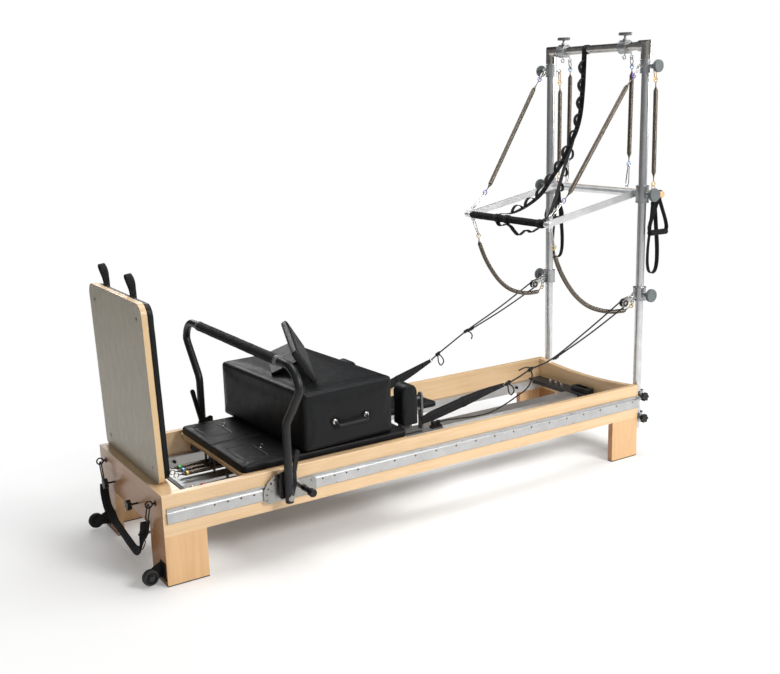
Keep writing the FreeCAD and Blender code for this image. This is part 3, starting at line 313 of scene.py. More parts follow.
def leather(name, base=(0.0034, 0.0040, 0.0052), rough=0.40, grain=620.0):
    mat = Material(name)
    cell = mat.cells(grain)
    crack = mat.cells(grain * 0.62, "DISTANCE_TO_EDGE")
    wrinkle = mat.noise(26, detail=5, rough=0.6, distortion=0.4)
    fold = mat.noise(6, detail=3)
    color = mat.mix(mat.rise(cell, at=(0.0, 0.75)),
                    shade(base, 1.5, lift=0.0008), shade(base, 0.72))
    color = mat.tint(color, shade(base, 1.8, lift=0.001), mat.rise(wrinkle, at=(0.45, 0.8)),
                     amount=0.3)
    roughness = mat.rise(wrinkle, at=(0.3, 0.75), to=(rough - 0.05, rough + 0.10))
    mat.surface(color=color, roughness=roughness, specular=0.19, sheen=0.02,
                sheen_roughness=0.45, coat=0.03, coat_roughness=0.35)
    crack = mat.math("MULTIPLY", mat.rise(crack, at=(0.0, 0.10)), 0.5)
    relief = mat.bump(mat.math("ADD", cell, crack), distance=0.00020, strength=0.55)
    relief = mat.bump(wrinkle, distance=0.0007, strength=0.30, under=relief)
    mat.bump(fold, distance=0.0035, strength=0.16, under=relief)
    return mat.material


def webbing(name):
    """Ribbon weave on the strap's own UVs, in metres along and across."""
    base, light = (0.0035, 0.0035, 0.0042), (0.014, 0.014, 0.016)
    pitch = 0.0021
    stitch_row = 0.0125 * 0.70  # from the middle of the strap
    mat = Material(name)
    warp = mat.wave(0.5 / pitch, "Y", source="UV")
    weft = mat.wave(0.35 / pitch, source="UV")
    twill = mat.wave(0.30 / pitch, distortion=0.6, detail=1, source="UV", turn=0.85)
    fuzz = mat.noise(900, detail=3, rough=0.6)
    weave = mat.math("ADD", mat.math("MULTIPLY", warp, weft), mat.math("MULTIPLY", twill, 0.6))
    across = mat.math("ABSOLUTE", mat.xyz("UV")[1])
    from_row = mat.math("ABSOLUTE", mat.math("SUBTRACT", across, stitch_row))
    row = mat.rise(from_row, at=(0.0004, 0.0009), to=(1.0, 0.0))
    dash = mat.rise(mat.wave(45, source="UV"), at=(0.42, 0.5))
    thread = mat.math("MULTIPLY", row, dash)
    color = mat.mix(mat.rise(weave, at=(0.15, 1.1)), base, light)
    color = mat.tint(color, shade(light, 2.2), thread, amount=0.75)
    color = mat.tint(color, shade(light, 1.4), fuzz, amount=0.2)
    mat.surface(color=color, roughness=0.80, specular=0.25, sheen=0.04, sheen_roughness=0.5)
    mat.bump(weave, distance=0.00035, strength=0.7)
    return mat.material


def braid(name):
    """Rope braid: two crossing sets of strands on the UVs."""
    base, light = (0.0045, 0.0045, 0.0052), (0.022, 0.022, 0.024)
    mat = Material(name)
    strands = [mat.wave(95, stretch=(1, 0.012, 1), source="UV", turn=turn)
               for turn in (0.9, -0.9)]
    fuzz = mat.noise(1400, detail=2, rough=0.6)
    height = mat.math("MAXIMUM", *strands)
    color = mat.mix(mat.rise(height, at=(0.25, 1.0)), base, light)
    color = mat.tint(color, shade(light, 1.5), fuzz, amount=0.25)
    mat.surface(color=color, roughness=0.8, specular=0.25, sheen=0.05)
    mat.bump(height, distance=0.0004, strength=0.8)
    return mat.material


def foam(name, base=(0.0040, 0.0040, 0.0045), rough=0.88):
    mat = Material(name)
    cell = mat.cells(850)
    soft = mat.noise(40, detail=4, rough=0.6)
    color = mat.mix(mat.rise(cell, at=(0.0, 0.8)), shade(base, 1.7), shade(base, 0.6))
    color = mat.tint(color, shade(base, 2.0, lift=0.001), mat.rise(soft, at=(0.4, 0.8)),
                     amount=0.35)
    roughness = mat.rise(soft, at=(0.3, 0.7), to=(rough - 0.08, rough + 0.06))
    mat.surface(color=color, roughness=roughness, specular=0.25, sheen=0.02)
    mat.bump(cell, distance=0.0004, strength=0.6)
    return mat.material


def laminate(name):
    """Pale laminate on the faces along X, light plywood on the edges."""
    mat = Material(name)
    fibre = mat.noise((260, 30, 12), detail=5, rough=0.6, distortion=0.4)
    speck = mat.noise(1600, detail=2, rough=0.6)
    color = mat.mix(mat.rise(fibre, at=(0.3, 0.7)), (0.430, 0.385, 0.295), (0.375, 0.332, 0.250))
    color = mat.tint(color, (0.31, 0.275, 0.205), mat.rise(speck, at=(0.5, 0.7)), amount=0.25)
    plies = mat.rise(mat.wave(115, distortion=1.2, detail=2), at=(0.35, 0.65))
    edge = mat.mix(plies, (0.74, 0.54, 0.31), (0.58, 0.385, 0.20))
    face = mat.rise(mat.math("ABSOLUTE", mat.xyz("Normal")[0]), at=(0.85, 0.93))
    mat.surface(color=mat.mix(face, edge, color), coat=0.12,
                roughness=mat.rise(fibre, at=(0.3, 0.7), to=(0.36, 0.46)))
    mat.bump(speck, distance=0.00005, strength=0.5)
    return mat.material


def plywood(name):
    mat = Material(name)
    figure = mat.noise((3, 60, 60), detail=5, rough=0.55, distortion=1.0)
    plies = mat.wave(150, "Z", distortion=0.8, detail=2)
    level = mat.rise(mat.math("ABSOLUTE", mat.xyz("Normal")[2]), at=(0.6, 0.8))
    side = mat.math("SUBTRACT", 1.0, level)
    color = mat.mix(mat.rise(figure, at=(0.3, 0.7)), (0.74, 0.52, 0.28), (0.60, 0.38, 0.19))
    color = mat.tint(color, (0.44, 0.27, 0.13), side,
                     amount=mat.rise(plies, at=(0.4, 0.6), to=(0.0, 0.6)))
    mat.surface(color=color, roughness=0.42, coat=0.2)
    mat.bump(plies, distance=0.00006, strength=0.5)
    return mat.material


def wheel(name, x, z, hub, groove):
    """Tyre round a metal hub, with a dark groove; hub and groove are radii."""
    tyre = (0.007, 0.007, 0.0075)
    line = (0.0006, 0.0014)  # distances from the groove over which it fades
    mat = Material(name)
    radius = mat.radius(x, z)
    fine = mat.noise(500, detail=3, rough=0.6)
    scuff = mat.noise(60, detail=5, rough=0.7)
    color = mat.mix(mat.rise(scuff, at=(0.45, 0.75)), tyre, shade(tyre, 2.0, lift=0.003))
    from_groove = mat.math("ABSOLUTE", mat.math("SUBTRACT", radius, groove))
    color = mat.mix(mat.rise(from_groove, at=line, to=(0.9, 0.0)), color, (0.004, 0.004, 0.004))
    inside = mat.rise(radius, at=(hub - 0.0004, hub + 0.0004), to=(1.0, 0.0))
    mat.surface(color=mat.mix(inside, color, (0.62, 0.62, 0.60)), metallic=inside,
                roughness=mat.rise(inside, at=(0.0, 1.0), to=(0.62, 0.28)))
    mat.bump(mat.math("ADD", fine, mat.rise(from_groove, at=line)), distance=0.0003,
             strength=0.5)
    return mat.material


def clamp_castings(name):
    """Cast metal, with grey plastic above the level of the screw heads."""
    mat = Material(name)
    reach = 4.0  # heights are divided by this to fit a ramp
    fine = mat.noise(420, detail=3, rough=0.6)
    cloud = mat.noise(30, detail=4, rough=0.6)
    above = mat.rise(mat.math("DIVIDE", mat.xyz()[2], reach),
                     at=(1.9845 / reach, 1.9855 / reach))
    color = mat.mix(mat.rise(cloud, at=(0.3, 0.7)), (0.36, 0.37, 0.38), (0.48, 0.49, 0.50))
    mat.surface(color=mat.mix(above, color, (0.060, 0.066, 0.068)),
                metallic=mat.math("SUBTRACT", 1.0, above),
                roughness=mat.rise(cloud, at=(0.3, 0.7), to=(0.30, 0.42)))
    mat.bump(fine, distance=0.00005, strength=0.5)
    return mat.material


def pulley_plates(name):
    """A black ring over the sheave, bright metal elsewhere."""
    mat = Material(name)
    radius = mat.radius(PULLEY_X / 1000 + X_SHIFT, PULLEY_Z / 1000)
    cloud = mat.noise(60, detail=4, rough=0.6)
    disc = mat.math("SUBTRACT", mat.rise(radius, at=(0.0158, 0.0166), to=(1.0, 0.0)),
                    mat.rise(radius, at=(0.0046, 0.0052), to=(1.0, 0.0)))
    color = mat.mix(mat.rise(cloud, at=(0.3, 0.7)), (0.44, 0.43, 0.42), (0.56, 0.55, 0.53))
    mat.surface(color=mat.mix(disc, color, (0.010, 0.010, 0.011)),
                metallic=mat.math("SUBTRACT", 1.0, disc),
                roughness=mat.rise(cloud, at=(0.3, 0.7), to=(0.22, 0.36)))
    mat.bump(cloud, distance=0.00004, strength=0.4)
    return mat.material


def floor_material():
    """Off-white floor that fades to pure white for the camera in the distance."""
    mat = Material("studio_floor")
    color = mat.mix(mat.noise(3, detail=3), (0.93, 0.93, 0.925), (0.90, 0.90, 0.90))
    mat.surface(color=color, roughness=0.85, specular=0.15)
    axes = mat.xyz()
    # an ellipse, longer along X, centred slightly toward -X
    along = mat.math("MULTIPLY", mat.math("ADD", axes[0], 0.05), 0.62)
    distance = mat.math("MULTIPLY", mat.length(along, axes[1]), 0.5)
    far = mat.rise(distance, at=(0.30, 0.80))
    glow = mat.node("Emission")
    glow.inputs["Color"].default_value = (1, 1, 1, 1)
    glow.inputs["Strength"].default_value = 1.0
    rays = mat.node("LightPath")
    blend = mat.node("MixShader")
    mat.link(mat.math("MULTIPLY", far, rays.outputs["Is Camera Ray"]), blend.inputs[0])
    mat.link(mat.shader.outputs[0], blend.inputs[1])
    mat.link(glow.outputs[0], blend.inputs[2])
    mat.link(blend.outputs[0], mat.output.inputs[0])
    return mat.material


ROLLER_Z = 0.27205
MATERIALS = {
    "rail": wood("maple_rail", "X", stave=("Z", 0.053), shade_minus_x_faces=True),
    "cross": wood("maple_cross", "Y", stave=("Z", 0.053), shade_minus_x_faces=True, seed=3.1),
    "head": wood("maple_head", "Y", stave=("Z", 0.06), seed=5.7),
    "leg": wood("maple_leg", "Z", light=(0.72, 0.46, 0.235), dark=(0.57, 0.33, 0.15),
                stave=("X", 0.047), shade_minus_x_faces=True, seed=8.3),
    "dowel": wood("ash_dowel", "Y", light=(0.76, 0.53, 0.30), dark=(0.55, 0.34, 0.17), seed=1.7),
    "ply": plywood("birch_ply"),
    "clamp": clamp_castings("clamp_castings"),
    "pulley": pulley_plates("pulley_plates"),
    "snap": metal("black_snap_hooks", (0.045, 0.045, 0.048), rough=0.28),
    "laminate": laminate("board_laminate"),
    "alu": metal("anodised_aluminium", (0.53, 0.535, 0.54), rough=0.42, brushed="X"),
    "alu_cast": metal("cast_aluminium", (0.44, 0.45, 0.46), rough=0.34),
    "alu_arm": metal("brushed_steel_arm", (0.82, 0.83, 0.84), rough=0.42, brushed="X",
                     across=1200),
    "tube": metal("satin_tube", (0.62, 0.63, 0.64), rough=0.27, brushed="Z", across=1300),
    "chrome": metal("polished_steel", (0.55, 0.53, 0.50), rough=0.16),
    "stainless": metal("stainless_plate", (0.34, 0.335, 0.32), rough=0.30, brushed="Z",
                       across=1100),
    "screw": metal("steel_screws", (0.42, 0.41, 0.40), rough=0.30),
    "spring": metal("spring_wire", (0.135, 0.115, 0.095), rough=0.24),
    "ring_blue": metal("ring_blue", (0.22, 0.42, 0.72), rough=0.30),
    "ring_purple": metal("ring_purple", (0.20, 0.15, 0.48), rough=0.30),
    "ring_yellow": metal("ring_yellow", (0.72, 0.50, 0.13), rough=0.30),
    "ring_red": metal("ring_red", (0.60, 0.06, 0.05), rough=0.32),
    "ring_green": metal("ring_green", (0.10, 0.42, 0.14), rough=0.32),
    "black": powder("black_powder_coat", (0.0065, 0.0065, 0.0072)),
    "bar": powder("charcoal_powder_coat", (0.0090, 0.0098, 0.0115), rough=0.38,
                  peel=0.00006, edge_highlight=0.15),
    "grey": powder("grey_powder_coat", (0.13, 0.135, 0.14), highlight_color=(0.35, 0.35, 0.35)),
    "plastic": powder("black_plastic", (0.0060, 0.0060, 0.0068), rough=0.36, peel=0.00012,
                      edge_highlight=0.12, highlight_color=(0.10, 0.10, 0.10)),
    "knob": powder("grey_plastic", (0.125, 0.14, 0.145), rough=0.45, peel=0.00012,
                   highlight_color=(0.40, 0.42, 0.43)),
    "rubber": powder("black_rubber", (0.0075, 0.0075, 0.0078), rough=0.66, peel=0.00020,
                     edge_highlight=0.15, highlight_color=(0.07, 0.07, 0.07)),
    "leather": leather("black_vinyl"),
    "leather_pad": leather("black_vinyl_pad", (0.0032, 0.0036, 0.0044), rough=0.44, grain=560),
    "leather_plate": leather("grey_black_vinyl", (0.0085, 0.0090, 0.0105), grain=640),
    "foam": foam("black_foam"),
    "foam_grip": foam("foam_grip", (0.0085, 0.0090, 0.0105), rough=0.74),
    "web": webbing("black_webbing"),
    "rope": braid("black_rope"),
    "wheel": wheel("transport_wheel_rubber", x=-1.252 + X_SHIFT, z=0.041, hub=0.0065,
                   groove=0.021),
    "roller_f": wheel("roller_front_tyre", x=-0.800 + X_SHIFT, z=ROLLER_Z, hub=0.006,
                      groove=0.0135),
    "roller_r": wheel("roller_rear_tyre", x=-0.180 + X_SHIFT, z=ROLLER_Z, hub=0.006,
                      groove=0.0135),
    "thread": powder("thread", (0.022, 0.023, 0.026), rough=0.6, peel=0.0001, edge_highlight=0.0),
}

# Material and the CAD nodes that wear it
NODE_GROUPS = {
    "rail": "side_rail_near side_rail_far", "cross": "foot_crossbeam", "head": "head_board",
    "leg": "legs", "rubber": "rubber_feet track_bumpers", "alu": "outer_tracks inner_tracks",
    "screw": "track_screws jumpboard_posts", "snap": "clips_and_eyes",
    "black": "head_cross_plate spring_bar wheel_brackets carriage_frame",
    "plastic": "star_knobs box_handles lever_near lever_far plunger_near plunger_far "
               "pulley_sheaves",
    "wheel": "transport_wheels", "laminate": "jumpboard_panel", "ply": "carriage_deck",
    "roller_f": "rollers_front", "roller_r": "rollers_rear", "grey": "shoulder_brackets",
    "stainless": "footbar_sliders", "bar": "footbar_tube", "tube": "uprights",
    "alu_cast": "tower_sockets collars", "chrome": "tower_top_bar",
    "knob": "knobs_upper knobs_mid knobs_lower", "clamp": "top_clamps",
    "alu_arm": "push_bar_frame", "dowel": "rolldown_bar", "pulley": "pulley_blocks",
    "leather_pad": "jumpboard_pad carriage_pad", "leather": "shoulder_pads headrest sitting_box",
    "leather_plate": "platform_board", "foam_grip": "footbar_grip",
    "foam": "push_bar_foam handle_grips", "rope": "ropes",
    "spring": "carriage_springs springs_push_bar springs_vertical springs_rear",
    "web": "jumpboard_loops handle_straps shoulder_straps frame_webbing",
}
NODE_MATERIALS = {node: key for key, names in NODE_GROUPS.items() for node in names.split()}
for node_name, node_object in NODES.items():
    node_object.data.materials.clear()
    node_object.data.materials.append(MATERIALS[NODE_MATERIALS[node_name]])


# ------------------------------------------------------------------ lines
def lengths(line):
    """Distance along a polyline at each of its points."""
    return np.r_[0, np.cumsum(np.linalg.norm(np.diff(line, axis=0), axis=1))]


def even(points, step):
    """Polyline resampled at even steps."""
    points = np.asarray(points, float)
    along = lengths(points)
    count = max(2, int(round(along[-1] / step)) + 1)
    stations = np.linspace(0, along[-1], count)
    return np.stack([np.interp(stations, along, points[:, i]) for i in range(3)], 1)


def curve(points, step, closed=False):
    """Centripetal Catmull-Rom through the points, sampled at even steps."""
    knots = [np.array(point, float) for point in points]
    if closed:
        knots = [knots[-1]] + knots + [knots[0], knots[1]]
    else:
        knots = [2 * knots[0] - knots[1]] + knots + [2 * knots[-1] - knots[-2]]
    out = []
    for a, b, c, d in zip(knots, knots[1:], knots[2:], knots[3:]):
        t1 = max(np.linalg.norm(b - a), 1e-6) ** 0.5
        t2 = t1 + max(np.linalg.norm(c - b), 1e-6) ** 0.5
        t3 = t2 + max(np.linalg.norm(d - c), 1e-6) ** 0.5
        count = max(2, int(np.linalg.norm(c - b) / (step / 3)))
        for k in range(count):
            t = t1 + (t2 - t1) * k / count
            ab = (t1 - t) / t1 * a + t / t1 * b
            bc = (t2 - t) / (t2 - t1) * b + (t - t1) / (t2 - t1) * c
            cd = (t3 - t) / (t3 - t2) * c + (t - t2) / (t3 - t2) * d
            abc = (t2 - t) / t2 * ab + t / t2 * bc
            bcd = (t3 - t) / (t3 - t1) * bc + (t - t1) / (t3 - t1) * cd
            out.append((t2 - t) / (t2 - t1) * abc + (t - t1) / (t2 - t1) * bcd)
    out.append(knots[-2])
    return even(out, step)


def path(points, step, side=1):
    """Smooth line through bed points in mm."""
    return curve(places(points, side), step)


def arc(x, y, z, radius, angles):
    """Points round a cross axis, in the units given."""
    return [(x + radius * math.cos(a), y, z + radius * math.sin(a)) for a in angles]


def rounded(x0, x1, y0, y1, radius):
    """Closed rounded rectangle as (x, y) points, five to a corner."""
    out = []
    for x, y, start in ((x1 - radius, y1 - radius, 0), (x0 + radius, y1 - radius, 90),
                        (x0 + radius, y0 + radius, 180), (x1 - radius, y0 + radius, 270)):
        for k in range(5):
            angle = math.radians(start + 22.5 * k)
            out.append((x + radius * math.cos(angle), y + radius * math.sin(angle)))
    return out + [out[0]]


def rounded_at(z, *sizes):
    return [place(x, y, z) for x, y in rounded(*sizes)]


def frames(line, closed=False):
    """Tangents, and normals and binormals carried along the line without twist."""
    tangents = np.gradient(line, axis=0)
    if closed:
        tangents = np.roll(line, -1, 0) - np.roll(line, 1, 0)
    tangents /= np.linalg.norm(tangents, axis=1)[:, None] + 1e-12
    start = np.array((0, 0, 1) if abs(tangents[0][2]) < 0.9 else (0, 1, 0), float)
    normal = start - tangents[0] * (start @ tangents[0])
    normal /= np.linalg.norm(normal)
    normals = []
    for tangent in tangents:
        normal = normal - tangent * (normal @ tangent)
        normal /= np.linalg.norm(normal) + 1e-12
        normals.append(normal.copy())
    normals = np.array(normals)
    return tangents, normals, np.cross(tangents, normals)


# ------------------------------------------------------------------ meshes
def new_object(name, mesh):
    obj = bpy.data.objects.new(name, mesh)
    COLLECTION.objects.link(obj)
    return obj


def add_mesh(name, verts, faces, material, uvs=None):
    mesh = bpy.data.meshes.new(name)
    mesh.from_pydata([tuple(v) for v in verts], [], faces)
    mesh.materials.append(MATERIALS[material])
    if uvs is not None:
        layer = mesh.uv_layers.new(name="UVMap")
        index = np.zeros(len(mesh.loops), np.int32)
        mesh.loops.foreach_get("vertex_index", index)
        layer.data.foreach_set("uv", np.asarray(uvs, np.float32)[index].ravel())
    mesh.polygons.foreach_set("use_smooth", [True] * len(mesh.polygons))
    mesh.update()
    return new_object(name, mesh)


def tube_faces(rings, sides, closed=False, base=0):
    """Walls between rings of vertices, with end caps on an open tube."""
    faces = []
    for i in range(rings if closed else rings - 1):
        low, high = base + i * sides, base + (i + 1) % rings * sides
        for k in range(sides):
            n = (k + 1) % sides
            faces.append((low + k, low + n, high + n, high + k))
    if not closed:
        last = base + (rings - 1) * sides
        faces.append(tuple(range(base, base + sides))[::-1])
        faces.append(tuple(range(last, last + sides)))
    return faces


def round_section(line, radii, angles, closed=False):
    """Vertices round a line; radii has a row per point, with one radius or one per angle."""
    _, normals, binormals = frames(line, closed)
    spokes = (normals[:, None] * np.cos(angles)[None, :, None]
              + binormals[:, None] * np.sin(angles)[None, :, None])
    return (line[:, None] + radii[:, :, None] * spokes).reshape(-1, 3)


def sweep(line, radius, material, sides, closed=False, name="part"):
    """Round section along a line; radius is a number or one per point."""
    line = np.asarray(line, float)
    radii = np.full(len(line), radius) if np.isscalar(radius) else np.asarray(radius)
    angles = np.linspace(0, FULL_TURN, sides, endpoint=False)
    verts = round_section(line, radii[:, None], angles, closed)
    uvs = np.stack([np.repeat(lengths(line), sides), np.tile(angles / FULL_TURN, len(line))], 1)
    return add_mesh(name, verts, tube_faces(len(line), sides, closed), material, uvs)


def ribbon(line, across, width, thickness, closed=False, taper=None):
    """Flat strap; across is the direction of its width, one vector or one per point."""
    line = np.asarray(line, float)
    tangents, _, _ = frames(line, closed)
    across = np.asarray(across, float)
    if across.ndim == 1:
        across = np.tile(across, (len(line), 1))
    across = across - tangents * np.sum(across * tangents, 1)[:, None]
    across /= np.linalg.norm(across, axis=1)[:, None] + 1e-12
    normals = np.cross(tangents, across)
    h, e = width / 2, thickness / 2
    section = [(-h, -e * 0.4), (-h + e, -e), (0, -e), (h - e, -e), (h, -e * 0.4),
               (h, e * 0.4), (h - e, e), (0, e), (-h + e, e), (-h, e * 0.4)]
    taper = np.ones(len(line)) if taper is None else taper
    verts = np.stack([line + across * (a * taper)[:, None] + normals * c for a, c in section], 1)
    uvs = np.stack([np.repeat(lengths(line), len(section)),
                    np.tile([a for a, _ in section], len(line))], 1)
    faces = tube_faces(len(line), len(section), closed)
    return add_mesh("strap", verts.reshape(-1, 3), faces, "web", uvs)


def coil(line, radius, wire):
    """Close-wound coil along a line: the wire shows as a helical thread."""
    sides, rows = 20, 4  # rows of vertices per turn
    line = even(line, wire / rows)
    count = len(line)
    angles = np.linspace(0, FULL_TURN, sides, endpoint=False)
    turns = np.arange(count)[:, None] / rows + angles[None, :] / FULL_TURN
    offset = (turns % 1.0) - 0.5
    thread = np.sqrt(np.clip(0.25 - (offset * 0.96) ** 2, 0, 1))
    radii = radius - wire * 0.36 + 0.72 * wire * thread
    along = np.arange(count) * wire / rows
    end = np.minimum(np.minimum(along, along[-1] - along) / (wire * 1.6), 1.0)
    radii = radii * (0.55 + 0.45 * np.sqrt(end))[:, None]
    verts = round_section(line, radii, angles)
    return add_mesh("coil", verts, tube_faces(count, sides), "spring")


def torus(centre, axis, radius, wire, material, count, sides):
    axis = Vector(axis).normalized()
    first = axis.cross(Vector((0, 0, 1))).normalized()
    second = axis.cross(first)
    line = [centre + first * (radius * math.cos(FULL_TURN * i / count))
            + second * (radius * math.sin(FULL_TURN * i / count)) for i in range(count)]
    return sweep(line, wire, material, sides, closed=True)


def lathe(base, axis, profile, material, sides, name="part"):
    """Solid of revolution; the profile is (height, radius) from one end to the other."""
    axis = Vector(axis).normalized()
    line = [base + axis * height for height, _ in profile]
    return sweep(line, [radius for _, radius in profile], material, sides, name=name)


def join(name, parts):
    """One mesh from parts of one material each."""
    bm = bmesh.new()
    materials = []
    for part in parts:
        material = part.data.materials[0]
        if material not in materials:
            materials.append(material)
        index = materials.index(material)
        part.data.polygons.foreach_set("material_index", [index] * len(part.data.polygons))
        bm.from_mesh(part.data)
    mesh = bpy.data.meshes.new(name)
    bm.to_mesh(mesh)
    bm.free()
    for material in materials:
        mesh.materials.append(material)
    for part in parts:
        bpy.data.objects.remove(part)
    return new_object(name, mesh)


def block(size):
    bm = bmesh.new()
    bmesh.ops.create_cube(bm, size=1.0)
    bmesh.ops.scale(bm, vec=size, verts=bm.verts)
    return bm


def bevel(bm, geom, offset, segments):
    bmesh.ops.bevel(bm, geom=geom, offset=offset, segments=segments, profile=0.5,
                    affect="EDGES")


def rounded_block(size, radius, segments):
    bm = block(size)
    bevel(bm, bm.edges[:] + bm.verts[:], radius, segments)
    return bm


def slab(size, axis, corner, corner_segments, rim):
    """Board facing along an axis, its corners rounded and the rim of its + face softened."""
    bm = block(size)
    corners = [e for e in bm.edges if abs(e.verts[0].co[axis] - e.verts[1].co[axis]) > 1e-4]
    bevel(bm, corners, corner, corner_segments)
    front = [e for e in bm.edges if min(v.co[axis] for v in e.verts) > size[axis] / 2 - 1e-5]
    bevel(bm, front, rim, 4)
    return bm


def to_mesh(bm, name, matrix=Matrix()):
    bm.transform(matrix)
    mesh = bpy.data.meshes.new(name)
    bm.to_mesh(mesh)
    bm.free()
    return mesh


# ------------------------------------------------------------------ upholstery
def read_vertices(mesh, field="co"):
    values = np.zeros(len(mesh.vertices) * 3)
    mesh.vertices.foreach_get(field, values)
    return values.reshape(-1, 3)


def write_vertices(mesh, points):
    mesh.vertices.foreach_set("co", points.ravel())
    mesh.update()


def baked(obj):
    """Mesh of an object with its modifiers applied."""
    return bpy.data.meshes.new_from_object(
        obj.evaluated_get(bpy.context.evaluated_depsgraph_get()))


def inflate(obj, held):
    """Vertices of a cover after a short pressure simulation."""
    last_frame = 20
    cloth = obj.modifiers.new("cloth", "CLOTH")
    settings = cloth.settings
    settings.quality = 3
    settings.mass = 0.3
    settings.tension_stiffness = settings.compression_stiffness = 25
    settings.bending_stiffness = 4.0
    settings.use_pressure = True
    settings.uniform_pressure_force = 4.0
    settings.effector_weights.gravity = 0.0
    if held:
        settings.vertex_group_mass = "pin"
    cloth.collision_settings.use_collision = False
    cloth.point_cache.frame_start = 1
    cloth.point_cache.frame_end = last_frame
    scene = bpy.context.scene
    for frame in range(1, last_frame + 1):
        scene.frame_set(frame)
    result = obj.evaluated_get(bpy.context.evaluated_depsgraph_get()).data
    points = None
    if len(result.vertices) == len(obj.data.vertices):
        points = read_vertices(result)
    obj.modifiers.clear()
    scene.frame_set(1)
    return points


def cushion(name, mesh, voxel, limit, material, held_at=None):
    """Filled cover: remeshed, inflated by no more than a limit, then subdivided once.

    held_at(points) says which vertices are held by what lies under them.
    """
    obj = new_object(name, mesh)
    remesh = obj.modifiers.new("remesh", "REMESH")
    remesh.mode = "VOXEL"
    remesh.voxel_size = voxel
    remesh.use_smooth_shade = True
    mesh = baked(obj)
    obj.modifiers.clear()
    obj.data = mesh
    points = read_vertices(mesh)
    group = obj.vertex_groups.new(name="pin")
    held = [] if held_at is None else [int(i) for i in np.nonzero(held_at(points))[0]]
    if held:
        group.add(held, 1.0, "REPLACE")
    blown = inflate(obj, held)
    move = np.zeros_like(points) if blown is None else blown - points
    size = np.linalg.norm(move, axis=1)
    scale = np.where(size > 1e-9, limit * np.tanh(size / limit) / np.maximum(size, 1e-9), 0)
    if not np.isfinite(move).all():
        move[:] = 0
    write_vertices(mesh, points + move * scale[:, None])
    subdivide = obj.modifiers.new("sub", "SUBSURF")
    subdivide.levels = subdivide.render_levels = 1
    mesh = baked(obj)
    obj.modifiers.clear()
    obj.data = mesh
    obj.vertex_groups.clear()
    mesh.materials.clear()
    mesh.materials.append(MATERIALS[material])
    mesh.polygons.foreach_set("use_smooth", [True] * len(mesh.polygons))
    mesh.polygons.foreach_set("material_index", [0] * len(mesh.polygons))
    mesh.name = name
    return obj


def distance_to(points, line):
    best = np.full(len(points), 1e9)
    line = np.asarray(line, float)
    for a, b in zip(line[:-1], line[1:]):
        ab = b - a
        t = np.clip((points - a) @ ab / max(ab @ ab, 1e-12), 0, 1)
        best = np.minimum(best, np.linalg.norm(points - a - t[:, None] * ab, axis=1))
    return best


def groove(cover, lines, depth, width, facing=None):
    """Pull a cover in along seam lines, only where it faces a direction if one is given."""
    points = read_vertices(cover.data)
    normals = read_vertices(cover.data, "normal")
    pull = np.zeros(len(points))
    for line in lines:
        pull = np.maximum(pull, depth * np.exp(-(distance_to(points, line) / width) ** 2))
    if facing is not None:
        pull *= (normals @ np.array(facing) > 0.3)
    write_vertices(cover.data, points - normals * pull[:, None])


def stitches(name, cover, lines):
    """Rows of short threads laid on a cover."""
    pitch, half_length, radius, lift = 0.0075, 0.0024, 0.0006, 0.0003
    stations = ((-1, 0.35), (-0.5, 1.0), (0.5, 1.0), (1, 0.35))  # along, thickness
    section = ((1, 0), (0.5, 0.9), (-0.5, 0.9), (-1, 0), (-0.5, -0.6), (0.5, -0.6))
    bm = bmesh.new()
    bm.from_mesh(cover.data)
    tree = BVHTree.FromBMesh(bm)
    bm.free()
    verts, faces = [], []
    for line in lines:
        points = even(line, pitch)
        for a, b in zip(points[:-1], points[1:]):
            spot, normal, _, _ = tree.find_nearest(Vector((a + b) / 2))
            if spot is None:
                continue
            along = Vector(b - a)
            along = (along - normal * along.dot(normal)).normalized() * half_length
            across = normal.cross(along).normalized() * radius
            centre = spot + normal * lift
            faces += tube_faces(len(stations), len(section), base=len(verts))
            for t, thick in stations:
                for x, z in section:
                    verts.append(centre + along * t + across * (x * thick)
                                 + normal * (radius * z * thick))
    return add_mesh(name, verts, faces, "thread")


